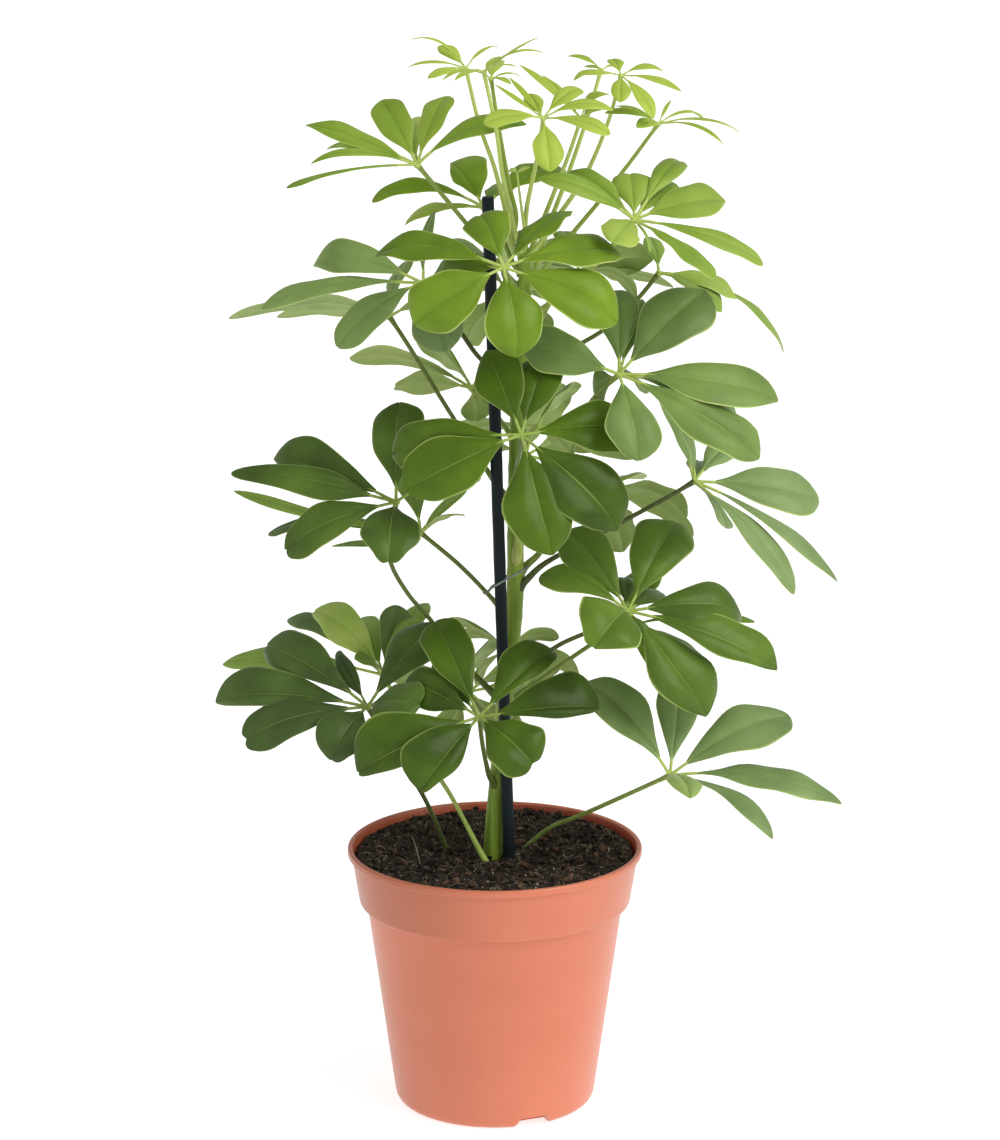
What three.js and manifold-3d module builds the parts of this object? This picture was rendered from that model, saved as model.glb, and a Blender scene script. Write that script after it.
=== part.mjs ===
// Umbrella plant in a plastic nursery pot, in millimetres, +Z up, origin at the middle of the pot's base.
// Leaves are placed as they are seen from the front: "across" and "up" are read on the upright plane
// through the pot's axis, and "toward" is how far a point stands out of that plane to the viewer.

import * as THREE from "three";
import { mergeVertices } from "three/addons/utils/BufferGeometryUtils.js";
import Module from "manifold-3d";

const wasm = await Module();
wasm.setup();

// Driving dimensions of the view that the places are read in
const viewDistance = 2400;
const viewHeight = 938;
const viewAcross = 3;

// Driving dimensions of the pot
const rimRadius = 85;
const potHeight = 154;
const collarFoot = 121.5;
const collarFootRadius = 78.6;
const bodyTopRadius = 74.2;
const footRadius = 57.4;
const wall = 1.6;
const footRound = 5;
const floorThickness = 2.4;
const footRingHeight = 7.4;
const footRingInner = 42;
const notchCount = 3;
const notchWidth = 23;
const notchTopWidth = 17;
const notchHeight = 5.2;
const notchDepth = 13;
const firstNotchAngle = -67;

// Driving dimensions of the compost
const soilLevel = 147;
const soilMound = 2;
const gap = 0.3;

// Driving dimensions of stem, stake and tie
const stemFootRadius = 5.6;
const stemMiddleRadius = 5.1;
const stemTopRadius = 2.6;
const stakeRadius = 3.4;
const stakeFoot = 40;
const stakeTop = 533;
const tieRadius = 0.7;

// Driving dimensions of the leaves
const bladeThickness = 0.9;
const stalkWidth = 1.7;
const stalkShare = 0.17;
const petioleFootRadius = 2.3;
const petioleRadius = 1.35;
const hubRadius = 3.2;
const slimWidth = 18;

const v3 = (x, y, z) => new THREE.Vector3(x, y, z);

// A point seen at (across, up) on the upright plane, standing "toward" the viewer out of that plane
function place(across, up, toward) {
  const near = 1 - toward / viewDistance;
  return v3(viewAcross + (across - viewAcross) * near, -toward, viewHeight + (up - viewHeight) * near);
}

// A closed skin over rings of points. The quads of the second half of a ring are split the other way,
// so that a thin blade has the same diagonals on both faces.
function skin(rings) {
  const sides = rings[0].length;
  const index = [];
  for (let i = 0; i + 1 < rings.length; i++) {
    for (let k = 0; k < sides; k++) {
      const a = i * sides + k;
      const b = i * sides + ((k + 1) % sides);
      const c = b + sides;
      const d = a + sides;
      if (k < sides / 2) index.push(a, b, c, a, c, d);
      else index.push(a, b, d, b, c, d);
    }
  }
  const last = (rings.length - 1) * sides;
  for (let k = 1; k + 1 < sides; k++) {
    index.push(0, k + 1, k);
    index.push(last, last + k, last + k + 1);
  }
  const geometry = new THREE.BufferGeometry();
  const points = rings.flat().flatMap((p) => [p.x, p.y, p.z]);
  geometry.setAttribute("position", new THREE.Float32BufferAttribute(points, 3));
  geometry.setIndex(index);
  return geometry;
}

// Geometry to solid and back
function solid(geometry) {
  const bare = geometry.clone();
  bare.deleteAttribute("normal");
  bare.deleteAttribute("uv");
  const merged = mergeVertices(bare, 1e-4);
  const body = new wasm.Manifold(
    new wasm.Mesh({
      numProp: 3,
      vertProperties: merged.attributes.position.array,
      triVerts: new Uint32Array(merged.index.array),
    }),
  );
  if (body.volume() > 0) return body;
  const flipped = new Uint32Array(merged.index.array).reverse();
  return new wasm.Manifold(
    new wasm.Mesh({ numProp: 3, vertProperties: merged.attributes.position.array, triVerts: flipped }),
  );
}

function geometryOf(body) {
  const mesh = body.getMesh();
  const geometry = new THREE.BufferGeometry();
  geometry.setAttribute("position", new THREE.BufferAttribute(new Float32Array(mesh.vertProperties), 3));
  geometry.setIndex(new THREE.BufferAttribute(new Uint32Array(mesh.triVerts), 1));
  return geometry;
}

// A round rod along a list of points, with a radius for each point
function rod(points, radii, sides) {
  const rings = points.map((point, i) => {
    const before = points[Math.max(i - 1, 0)];
    const after = points[Math.min(i + 1, points.length - 1)];
    const along = after.clone().sub(before).normalize();
    const helper = Math.abs(along.z) > 0.9 ? v3(0, 1, 0) : v3(0, 0, 1);
    const side = helper.clone().cross(along).normalize();
    const lift = along.clone().cross(side);
    const ring = [];
    for (let k = 0; k < sides; k++) {
      const turn = (2 * Math.PI * k) / sides;
      ring.push(
        point
          .clone()
          .addScaledVector(side, radii[i] * Math.cos(turn))
          .addScaledVector(lift, radii[i] * Math.sin(turn)),
      );
    }
    return ring;
  });
  return skin(rings);
}

const group = new THREE.Group();

function add(name, geometry, color, roughness) {
  const material = new THREE.MeshStandardMaterial({ color, roughness, metalness: 0 });
  const mesh = new THREE.Mesh(geometry, material);
  mesh.name = name;
  group.add(mesh);
}

// Pot: outer profile up from the foot, over the rolled lip and down the inside to the floor
function potWall() {
  const profile = [];
  const point = (radius, height) => profile.push(new THREE.Vector2(radius, height));
  const bodyRadius = (height) => footRadius + ((bodyTopRadius - footRadius) * height) / collarFoot;
  const collarRadius = (height) =>
    collarFootRadius + ((rimRadius - 1.6 - collarFootRadius) * (height - collarFoot)) / (potHeight - collarFoot);
  point(0, 0);
  point(footRadius - footRound, 0);
  for (const turn of [30, 60]) {
    const angle = THREE.MathUtils.degToRad(turn);
    point(
      footRadius - footRound + footRound * Math.sin(angle),
      footRound - footRound * Math.cos(angle),
    );
  }
  point(bodyRadius(footRound), footRound);
  point(bodyRadius(collarFoot - 3), collarFoot - 3);
  point(collarFootRadius - 1, collarFoot);
  point(collarRadius(collarFoot + 2), collarFoot + 2);
  point(collarRadius(potHeight - 5), potHeight - 5);
  point(rimRadius, potHeight - 3.6);
  point(rimRadius, potHeight - 1.2);
  point(rimRadius - 1.2, potHeight);
  point(rimRadius - 2.6, potHeight - 0.6);
  point(collarRadius(potHeight - 5) - wall, potHeight - 5);
  point(collarRadius(collarFoot + 4) - wall, collarFoot + 4);
  point(bodyRadius(collarFoot - 1) - wall, collarFoot - 1);
  point(bodyRadius(footRingHeight + 3) - wall, footRingHeight + 3);
  point(bodyRadius(footRingHeight) - wall - 2, footRingHeight);
  point(footRingInner, footRingHeight);
  point(footRingInner - 3, floorThickness);
  point(0, floorThickness);
  return new THREE.LatheGeometry(profile, 36).rotateX(Math.PI / 2);
}

// Drain notch: a block with sloping cheeks that bites into the foot from outside
function notchBlock(angle) {
  const outline = new THREE.Shape();
  outline.moveTo(-notchWidth / 2 - 1, -1.5);
  outline.lineTo(notchWidth / 2 + 1, -1.5);
  outline.lineTo(notchTopWidth / 2, notchHeight);
  outline.lineTo(-notchTopWidth / 2, notchHeight);
  outline.closePath();
  const block = new THREE.ExtrudeGeometry(outline, { depth: notchDepth + 6, bevelEnabled: false });
  block.rotateX(Math.PI / 2);
  block.translate(0, footRadius + 6, 0);
  block.rotateZ(THREE.MathUtils.degToRad(angle - 90));
  return block;
}

let pot = solid(potWall());
for (let i = 0; i < notchCount; i++) {
  pot = pot.subtract(solid(notchBlock(firstNotchAngle + (360 * i) / notchCount)));
}
add("pot", geometryOf(pot), 0xd9825f, 0.45);

// Main stem: leans a little to the right as it climbs, then back at the growing tip
const stemCourse = [
  [75, -1.5, 3, stemFootRadius],
  [148, -1.2, 3, stemFootRadius],
  [200, 2.4, 1.5, stemMiddleRadius],
  [250, 6.8, 0.5, stemMiddleRadius],
  [300, 11.4, -1, stemMiddleRadius],
  [345, 11.8, -1, 4.8],
  [400, 12.6, -1, 4.4],
  [450, 15.4, -1, 4.2],
  [485, 17, -1, 3.9],
  [506, 15.6, -1, 3.4],
  [514, 14.8, -1, stemTopRadius],
];

// The stem's axis and radius at a height
function stemAt(up) {
  let i = 0;
  while (i + 2 < stemCourse.length && stemCourse[i + 1][0] < up) i++;
  const [lowUp, lowAcross, lowToward, lowRadius] = stemCourse[i];
  const [highUp, highAcross, highToward, highRadius] = stemCourse[i + 1];
  const share = (up - lowUp) / (highUp - lowUp);
  const mix = (low, high) => low + (high - low) * share;
  return {
    across: mix(lowAcross, highAcross),
    toward: mix(lowToward, highToward),
    radius: mix(lowRadius, highRadius),
  };
}

const stemPoints = stemCourse.map(([up, across, toward]) => place(across, up, toward));
const stemRadii = stemCourse.map((row) => row[3]);
add("main_stem", rod(stemPoints, stemRadii, 12), 0x6b8a2c, 0.5);

// Stake: straight, leaning a little to the left, and cut off square
const stakeLow = place(11.7, stakeFoot, 7.4);
const stakeHigh = place(-3.8, stakeTop, 14.8);
add("support_stake", rod([stakeLow, stakeHigh], [stakeRadius, stakeRadius], 10), 0x22302c, 0.35);

// Leaves. Each is a petiole, a hub and a ring of stalked leaflets that grew as one piece.
// hub and via are [across, up, toward]. A petiole starts on the stem, at a height and an angle round it
// (0 right, 90 away from the viewer, -90 to the viewer), or in the compost at [across, toward].
// face is the way that the leaf's upper side looks, as [across, up, toward].
// A leaflet is [tip across, tip up, tip toward counted from the hub, blade width, arch, turn], where
// turn swings its upper face to the viewer, in degrees.
const leaves = [
  {
    name: "leaf_low_left", hub: [-73, 237, 36], face: [-0.2, 0.65, 0.7],
    soil: [-26, -8], via: [[-41, 183, 3], [-60, 213, 20]],
    leaflets: [
      [-162, 243, -18, 27, 12], [-130, 272, -37, 27, 14], [-141, 214, 5, 26, 9], [-95, 207, 28, 26, 6],
      [-43, 241, 28, 22, 5], [-94, 281, -38, 14, 5], [-38, 284, -45, 26, 6],
    ],
  },
  {
    name: "leaf_low_left_back", hub: [-64, 256, -35], face: [-0.1, 0.85, 0.5],
    soil: [-7, 14], via: [[-25, 183, 3], [-34, 198, -3]],
    leaflets: [
      [-104, 294, -12, 24, 19, 15], [-152, 262, -20, 18, 8], [-80, 266, 20, 14, 4], [-76, 290, -45, 18, 6],
      [-57, 296, -12, 17, 3, 40], [-39, 299, -35, 16, 8], [-43, 287, -5, 15, 8], [-117, 288, -40, 12, 12],
    ],
  },
  {
    name: "leaf_low_front", hub: [-9, 231, 70], face: [0, 0.5, 0.87],
    stem: [194, -125], via: [[-10, 210, 38]],
    leaflets: [
      [-37, 287, -38, 27, 6], [37, 271, -35, 26, 6], [60, 241, -15, 25, 7], [20, 196, 26, 34, 8],
      [-42, 187, 32, 28, 8], [-76, 198, 10, 28, 13], [-48, 252, -28, 22, 6], [-36, 265, -52, 12, 4],
    ],
  },
  {
    name: "leaf_low_back", hub: [6, 270, -40], face: [0, 0.7, -0.7],
    stem: [254, 95], via: [[6, 262, -20]],
    leaflets: [
      [-27, 289, -32, 18, 5], [-22, 279, -8, 15, 6], [37, 279, -12, 14, 6], [49, 256, -2, 15, 7],
      [-12, 251, 12, 18, 4], [20, 250, 14, 18, 4],
    ],
  },
  {
    name: "leaf_low_right", hub: [76, 294, 40], face: [0.1, 0.6, 0.78],
    stem: [256, -8], via: [[37, 274, 14], [54, 282, 26]],
    leaflets: [
      [27, 314, -22, 19, 8, -20], [41, 341, -40, 25, 6], [109, 340, -42, 34, 8], [143, 292, -22, 28, 10],
      [159, 260, -4, 28, 12], [120, 235, 16, 36, 8], [60, 268, 38, 33, 5], [84, 271, 46, 15, 5],
      [95, 305, -48, 13, 4], [73, 316, -55, 12, 3],
    ],
  },
  {
    name: "leaf_low_right_back", hub: [72, 284, -28], face: [0.1, 0.85, 0.2],
    stem: [240, 25], via: [[30, 256, -9], [55, 274, -18]],
    leaflets: [
      [149, 289, -12, 14, 6], [124, 262, -30, 22, 6], [104, 322, -42, 24, 4], [58, 276, -55, 22, 6],
      [96, 252, 8, 20, 5],
    ],
  },
  {
    name: "leaf_far_low_right", hub: [101, 196, 42], face: [0.1, 0.75, 0.6],
    soil: [14, -17], via: [[30, 163, -11], [50, 172, 2], [80, 186, 25]],
    leaflets: [
      [49, 252, -28, 26, 10], [105, 254, -40, 20, 5], [169, 228, -20, 26, 9], [198, 181, 0, 24, 10, -15],
      [161, 160, 28, 18, 9, -25], [113, 185, 58, 17, 4],
    ],
  },
  {
    name: "leaf_left", hub: [-56, 358, 42], face: [-0.1, 0.6, 0.78],
    stem: [243, 178], via: [[-22, 268, -8], [-36, 288, -4], [-50, 305, 10], [-60, 326, 24]],
    leaflets: [
      [-54, 416, -35, 28, 4], [-128, 385, -30, 29, 12], [-149, 374, -5, 20, 6], [-121, 330, 12, 29, 10],
      [-60, 322, 44, 34, 6], [-12, 379, -42, 24, 6],
    ],
  },
  {
    name: "leaf_left_back", hub: [-42, 340, -30], face: [0, 0.98, -0.1],
    stem: [291, 150], via: [[-3, 303, -13], [-20, 321, -22]],
    leaflets: [
      [-17, 364, -20, 16, 3], [-18, 351, 12, 14, 3], [-129, 339, -22, 18, 8, 10], [-146, 363, 2, 17, 14, 25],
      [-92, 333, 16, 18, 4], [-52, 388, -40, 20, 4],
    ],
  },
  {
    name: "leaf_mid_left_back", hub: [-59, 465, -24], face: [0.1, 0.55, -0.8],
    stem: [360, 170], via: [[-24, 408, -12], [-50, 451, -14]],
    leaflets: [
      [-151, 466, -8, 15, 8], [-122, 464, -34, 17, 6], [-112, 471, 16, 16, 7], [-14, 478, -28, 22, 5],
      [-46, 500, -52, 20, 4],
    ],
  },
  {
    name: "leaf_mid_left", hub: [-13, 424, -32], face: [0, 0.6, -0.8],
    stem: [396, 140], via: [[0, 410, -18]],
    leaflets: [
      [-83, 441, -12, 24, 8], [-53, 426, 2, 24, 3], [-40, 455, -40, 20, 5], [-10, 405, 10, 18, 2],
      [18, 448, -35, 20, 4],
    ],
  },
  {
    name: "leaf_high_left", hub: [-40, 484, 10], face: [-0.2, 0.85, 0.45],
    stem: [425, 183], via: [[-9, 442, 2], [-19, 456, 3]],
    leaflets: [
      [-89, 449, 30, 25, 10, 15], [-131, 471, 4, 23, 7, -8], [-101, 494, -25, 25, 14, 15], [-34, 525, -32, 13, 3, -30],
      [-29, 444, 44, 27, 4], [0, 500, -38, 22, 5],
    ],
  },
  {
    name: "leaf_centre_low", hub: [15, 397, 70], face: [0, 0.55, 0.83],
    stem: [378, -85], via: [[14, 386, 38]],
    leaflets: [
      [-58, 388, -18, 27, 10], [-49, 364, 4, 34, 8], [29, 326, 30, 39, 6], [70, 343, 12, 38, 8],
      [79, 400, -20, 28, 7], [28, 441, -38, 24, 6], [-7, 443, -38, 28, 6],
    ],
  },
  {
    name: "leaf_centre_back", hub: [24, 402, -38], face: [0, 0.6, -0.8],
    stem: [386, 80], via: [[19, 397, -22]],
    leaflets: [
      [46, 424, -42, 24, 4], [80, 384, -12, 24, 6], [44, 384, 10, 14, 3], [-36, 392, -18, 22, 6],
    ],
  },
  {
    name: "leaf_mid_right_back", hub: [60, 362, -38], face: [0.1, 0.7, -0.65],
    stem: [338, 40], via: [[34, 349, -22]],
    leaflets: [
      [110, 350, -22, 22, 12], [113, 338, 0, 18, 9], [74, 329, 14, 33, 3], [34, 385, -35, 20, 4],
      [84, 372, -62, 18, 5],
    ],
  },
  {
    name: "leaf_centre_high", hub: [5, 493, 75], face: [0.05, 0.55, 0.83],
    stem: [470, -88], via: [[12, 480, 42]],
    leaflets: [
      [-66, 507, -26, 27, 9, -28], [-9, 523, -27, 24, 5], [43, 527, -42, 24, 4, -35], [72, 500, -24, 30, 9, -20],
      [68, 461, 6, 31, 8], [12, 442, 24, 34, 8], [-42, 460, 6, 31, 8], [-32, 490, -28, 22, 4],
    ],
  },
  {
    name: "leaf_high_back_right", hub: [47, 491, -25], face: [0.1, 0.85, -0.4],
    stem: [452, 30], via: [[32, 474, -16]],
    leaflets: [
      [89, 498, -12, 26, 6, -40], [100, 482, -32, 14, 4], [81, 475, 0, 17, 8], [38, 514, -36, 20, 4],
      [22, 486, -48, 20, 5],
    ],
  },
  {
    name: "leaf_right", hub: [70, 432, 50], face: [0.1, 0.6, 0.78],
    stem: [317, 35], via: [[26, 329, -5], [40, 372, 14], [53, 414, 34]],
    leaflets: [
      [18, 446, -8, 24, 3], [69, 480, -42, 22, 4], [121, 477, -32, 33, 7], [159, 418, -12, 26, 10],
      [140, 411, -36, 20, 8], [151, 384, 12, 28, 10], [81, 384, 34, 28, 6], [56, 418, -24, 22, 3],
      [83, 424, -50, 20, 3], [83, 477, -45, 12, 3],
    ],
  },
  {
    name: "leaf_far_right", hub: [113, 370, -5], face: [0.15, 0.85, 0.45],
    stem: [311, -22], via: [[27, 321, 3], [57, 338, 2], [100, 362, -3]],
    leaflets: [
      [93, 422, -22, 15, 3, -30], [104, 412, 12, 14, 3, -20], [143, 404, -42, 26, 4], [184, 361, -20, 26, 6, 25],
      [194, 312, 6, 18, 8, -10], [170, 305, 26, 19, 8], [132, 343, 48, 14, 3, -20], [116, 382, -45, 14, 3],
    ],
  },
  {
    name: "leaf_far_right_high", hub: [92, 490, -22], face: [0.2, 0.85, 0.3],
    stem: [432, 5], via: [[62, 458, -16], [80, 475, -20]],
    leaflets: [
      [127, 471, 14, 22, 5], [135, 475, 4, 17, 5, -20], [162, 448, -8, 17, 12], [104, 499, -42, 15, 3],
      [153, 462, -30, 14, 10],
    ],
  },
  {
    name: "leaf_upper_right", hub: [78, 520, 25], face: [0.15, 0.75, 0.6],
    stem: [464, -22], via: [[50, 488, 15]],
    leaflets: [
      [75, 547, -32, 26, 3], [127, 530, -22, 27, 6], [100, 542, -40, 20, 4], [150, 498, -5, 18, 14],
      [123, 489, 22, 20, 6, -30], [66, 508, 44, 20, 3], [41, 549, -22, 17, 5], [24, 544, 8, 16, 6],
      [92, 492, 30, 13, 3, -60], [101, 554, -60, 14, 3],
    ],
  },
  {
    name: "leaf_top_left", hub: [-43, 551, 10], face: [-0.2, 0.9, 0.3],
    stem: [482, 182], via: [[-7, 507, 3]],
    leaflets: [
      [-105, 575, -22, 20, 5], [-103, 554, 6, 16, 6], [-116, 538, 22, 17, 9, -15], [-67, 587, -30, 20, 2],
      [-25, 590, -26, 20, 3], [17, 574, -6, 20, 11, 12], [-46, 578, -55, 14, 3], [-95, 563, -46, 13, 4],
    ],
  },
  {
    name: "leaf_top_back", hub: [-6, 527, -16], face: [-0.1, 0.85, 0.35],
    stem: [492, 160], via: [[4, 511, -10]],
    leaflets: [
      [-69, 532, -2, 18, 11], [-49, 522, -40, 17, 4], [-20, 552, -36, 23, 4], [40, 549, -20, 25, 8],
      [10, 540, -50, 18, 4],
    ],
  },
  {
    name: "leaf_young_front_left", hub: [-16, 605, -5], face: [-0.1, 0.97, 0.05], young: true,
    stem: [503, 195], via: [[7, 521, 1], [0, 549, -1], [-8, 572, -3]],
    leaflets: [
      [-47, 621, -8, 9, 2], [-31, 617, -16, 12, 3, 30], [-47, 606, 4, 9, 3], [-37, 599, 16, 10, 2, 25],
      [-11, 614, -26, 9, 1],
    ],
  },
  {
    name: "leaf_young_middle", hub: [-6, 603, 12], face: [0, 0.97, 0.05], young: true,
    stem: [505, -115], via: [[9, 524, 9], [4, 548, 18], [1, 570, 23]],
    leaflets: [
      [2, 618, -18, 11, 1], [23, 623, -8, 10, 3], [27, 614, 4, 10, 4], [12, 606, 16, 10, 2],
      [-29, 598, 10, 9, 3], [-20, 597, 22, 9, 2],
    ],
  },
  {
    name: "leaf_young_back", hub: [-2, 599, -20], face: [0, 0.95, 0.1], young: true,
    stem: [507, 140], via: [[12, 522, -5], [8, 540, -3], [4, 562, -10]],
    leaflets: [
      [20, 604, -10, 9, 3], [17, 593, 8, 9, 3], [-4, 615, -22, 9, 1], [12, 612, -28, 8, 2],
      [-22, 606, -22, 8, 2],
    ],
  },
  {
    name: "leaf_young_front", hub: [27, 577, 30], face: [0.1, 0.85, 0.5], young: true,
    stem: [508, -80], via: [[18, 527, 10], [23, 552, 20]],
    leaflets: [
      [31, 549, 16, 18, 3], [63, 568, 12, 13, 4], [-6, 574, 12, 13, 4], [0, 595, -14, 8, 2, -30],
      [22, 592, -26, 9, 1, -20], [43, 594, -20, 10, 2, -20], [14, 607, -22, 8, 2, -40], [26, 601, -24, 8, 1, -40],
    ],
  },
  {
    name: "leaf_young_high_back", hub: [48, 577, -14], face: [0.1, 0.9, 0.2], young: true,
    stem: [497, 60], via: [[31, 530, -12], [41, 556, -14]],
    leaflets: [
      [67, 581, -2, 12, 10], [40, 599, -10, 10, 2], [55, 598, -6, 10, 2], [36, 588, 6, 9, 2],
      [66, 590, -8, 10, 3],
    ],
  },
  {
    name: "leaf_young_right_back", hub: [59, 604, -38], face: [0, 0.95, 0.2], young: true,
    stem: [488, 30], via: [[30, 516, -14], [40, 543, -22], [51, 576, -34]],
    leaflets: [
      [40, 611, -6, 10, 2], [43, 598, 8, 10, 3], [57, 611, -16, 8, 1], [74, 611, -10, 9, 2],
    ],
  },
  {
    name: "leaf_young_right", hub: [70, 601, 6], face: [0.1, 0.9, 0.35], young: true,
    stem: [500, -20], via: [[34, 520, -3], [50, 544, -13], [63, 575, -3]],
    leaflets: [
      [68, 610, -18, 8, 1], [93, 603, -12, 11, 3], [102, 591, 6, 11, 3], [70, 585, 16, 11, 2],
      [88, 577, 16, 13, 3], [53, 596, 4, 9, 2],
    ],
  },
  {
    name: "leaf_young_far_right", hub: [91, 574, 0], face: [0.1, 0.95, 0.25], young: true,
    stem: [484, -30], via: [[44, 513, 16], [58, 530, 27], [72, 548, 22]],
    leaflets: [
      [136, 570, -6, 12, 5, -10], [127, 563, 18, 11, 5, -10], [113, 579, -30, 10, 3], [97, 587, -28, 8, 1, -30],
      [80, 577, -30, 10, 3], [58, 580, 12, 14, 4],
    ],
  },
  {
    name: "leaf_back_high", hub: [8, 478, -104], face: [0, 0.6, -0.8],
    stem: [440, 92], via: [[14, 460, -58]],
    leaflets: [
      [-32, 504, -22, 26, 8], [-44, 476, -2, 28, 8], [12, 514, -40, 26, 6], [50, 507, -20, 26, 7],
      [60, 474, -4, 28, 8], [26, 448, 8, 26, 6], [-16, 450, 4, 26, 6],
    ],
  },
  {
    name: "leaf_back_middle", hub: [18, 385, -112], face: [0, 0.6, -0.8],
    stem: [350, 100], via: [[14, 368, -60]],
    leaflets: [
      [-40, 390, -14, 28, 8], [4, 430, -42, 26, 6], [42, 424, -30, 28, 7], [66, 394, -8, 28, 8],
      [58, 362, 6, 28, 7], [18, 340, 4, 28, 6],
    ],
  },
  {
    name: "leaf_back_low", hub: [-15, 246, -100], face: [0, 0.6, -0.8],
    stem: [216, 105], via: [[-5, 230, -54]],
    leaflets: [
      [-62, 256, -12, 26, 8], [-38, 276, -32, 26, 6], [0, 274, -36, 26, 6], [38, 262, -20, 28, 8],
      [46, 240, -2, 28, 8], [12, 208, 8, 28, 6], [-34, 204, 6, 28, 6],
    ],
  },
];

const toViewer = v3(0, -1, 0.25).normalize();
const bladeOutline = [[0, 0.14], [0.2, 0.56], [0.5, 0.94], [0.78, 0.92], [1, 0.34]];
const slimOutline = [[0, 0.18], [0.55, 1], [1, 0.4]];

// One leaflet: a thin stalk that spreads into an arched, blunt-tipped blade
function leaflet(hub, face, row, young) {
  const [across, up, toward, width, arch, turn = 0] = row;
  const tip = place(across, up, toward);
  const chord = tip.clone().sub(hub);
  const along = chord.clone().normalize();
  const flat = face.clone().addScaledVector(along, -face.dot(along)).normalize();
  const aside = along.clone().cross(flat);
  if (aside.dot(toViewer) < 0) aside.negate();
  const angle = THREE.MathUtils.degToRad(turn);
  const upper = flat.multiplyScalar(Math.cos(angle)).addScaledVector(aside, Math.sin(angle));
  const middle = hub.clone().addScaledVector(chord, 0.55).addScaledVector(upper, 2 * arch);
  const course = new THREE.QuadraticBezierCurve3(hub, middle, tip);
  const section = (t, halfWidth, halfThickness) => {
    const point = course.getPoint(t);
    const tangent = course.getTangent(t);
    const normal = upper.clone().addScaledVector(tangent, -upper.dot(tangent)).normalize();
    const side = tangent.clone().cross(normal);
    const corner = (s, n) =>
      point.clone().addScaledVector(side, s * halfWidth).addScaledVector(normal, n * halfThickness);
    return [corner(-1, 1), corner(1, 1), corner(1, -1), corner(-1, -1)];
  };
  const stalk = young ? stalkWidth * 0.7 : stalkWidth;
  const rings = [section(0, stalk / 2, stalk / 2)];
  for (const [share, broad] of young || width <= slimWidth ? slimOutline : bladeOutline) {
    const t = stalkShare + (1 - stalkShare) * share;
    rings.push(section(t, Math.max((broad * width) / 2, stalk / 2), bladeThickness / 2));
  }
  return skin(rings);
}

// The petiole's course, from its foot to the hub
function petioleCourse(leaf) {
  const course = [];
  if (leaf.soil) {
    const [across, toward] = leaf.soil;
    const [nextAcross, , nextToward] = leaf.via[0];
    course.push(place(across - (nextAcross - across) * 0.5, soilLevel - 16, toward - (nextToward - toward) * 0.5));
    course.push(place(across, soilLevel, toward));
  } else {
    const [up, angle] = leaf.stem;
    const stem = stemAt(up);
    const turn = THREE.MathUtils.degToRad(angle);
    const centre = place(stem.across, up, stem.toward);
    for (const out of [gap + 0.1, 4]) {
      const reach = stem.radius + out;
      course.push(centre.clone().add(v3(reach * Math.cos(turn), reach * Math.sin(turn), 0)));
    }
  }
  const start = course.pop();
  const curve = new THREE.CatmullRomCurve3(
    [start, ...leaf.via.map((p) => place(...p)), place(...leaf.hub)], false, "centripetal");
  const steps = Math.min(8, Math.max(3, Math.round(curve.getLength() / 28)));
  return [...course, ...curve.getSpacedPoints(steps)];
}

function petioleRadii(count, young) {
  const slim = young ? 0.8 : 1;
  return Array.from({ length: count }, (_, i) => {
    const share = i / (count - 1);
    return slim * (petioleRadius + (petioleFootRadius - petioleRadius) * Math.max(0, 1 - share * 3));
  });
}

function leafBody(leaf) {
  const hub = place(...leaf.hub);
  const face = v3(leaf.face[0], -leaf.face[2], leaf.face[1]).normalize();
  const course = petioleCourse(leaf);
  const ball = new THREE.OctahedronGeometry(leaf.young ? hubRadius * 0.7 : hubRadius, 0);
  ball.translate(hub.x, hub.y, hub.z);
  let body = solid(rod(course, petioleRadii(course.length, leaf.young), 5)).add(solid(ball));
  for (const row of leaf.leaflets) {
    const [across, up, toward, ...rest] = row;
    body = body.add(solid(leaflet(hub, face, [across, up, leaf.hub[2] + toward, ...rest], leaf.young)));
  }
  return body;
}

const leafColor = new THREE.Color(0x4d7a26);
for (const leaf of leaves) {
  add(leaf.name, geometryOf(leafBody(leaf)), leafColor, 0.4);
}

// Compost: a slightly mounded body that fills the pot, with a plain hole for each thing that stands in it
function compost() {
  const spokes = 26;
  const inner = (height) => footRadius + ((bodyTopRadius - footRadius) * height) / collarFoot - wall - 0.5;
  const low = footRingHeight + 0.5;
  const edge = rimRadius - 5.4;
  const profile = [
    [footRingInner - 3.6, floorThickness + gap],
    [footRingInner - 0.5, low],
    [inner(low) - 2.5, low],
    [inner(low + 4), low + 4],
    [inner(collarFoot - 1), collarFoot - 1],
    [collarFootRadius - wall - 0.8, collarFoot + 5],
    [edge, soilLevel - 1],
    [edge - 1.6, soilLevel + 0.4],
  ];
  const rings = profile.map(([radius, height]) => {
    const ring = [];
    for (let k = 0; k < spokes; k++) {
      const turn = (2 * Math.PI * k) / spokes;
      ring.push(v3(radius * Math.cos(turn), radius * Math.sin(turn), height));
    }
    return ring;
  });
  for (const radius of [60, 40, 20]) {
    const ring = [];
    for (let k = 0; k < spokes; k++) {
      const turn = (2 * Math.PI * k) / spokes;
      const dome = soilMound * (1 - (radius / edge) ** 2);
      const lumps = 0.9 * Math.sin(turn * 5 + radius) + 0.6 * Math.sin(turn * 11 + radius * 0.7);
      ring.push(v3(radius * Math.cos(turn), radius * Math.sin(turn), soilLevel + 0.2 + dome + lumps));
    }
    rings.push(ring);
  }
  return skin(rings);
}

// A hole round a buried rod, a little wider than the rod and open to the air
function hole(low, high, radius, sides) {
  const along = high.clone().sub(low).normalize();
  const bottom = low.clone().addScaledVector(along, -gap);
  const top = high.clone().addScaledVector(along, 25);
  return solid(rod([bottom, top], [radius + gap, radius + gap], sides));
}

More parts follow.
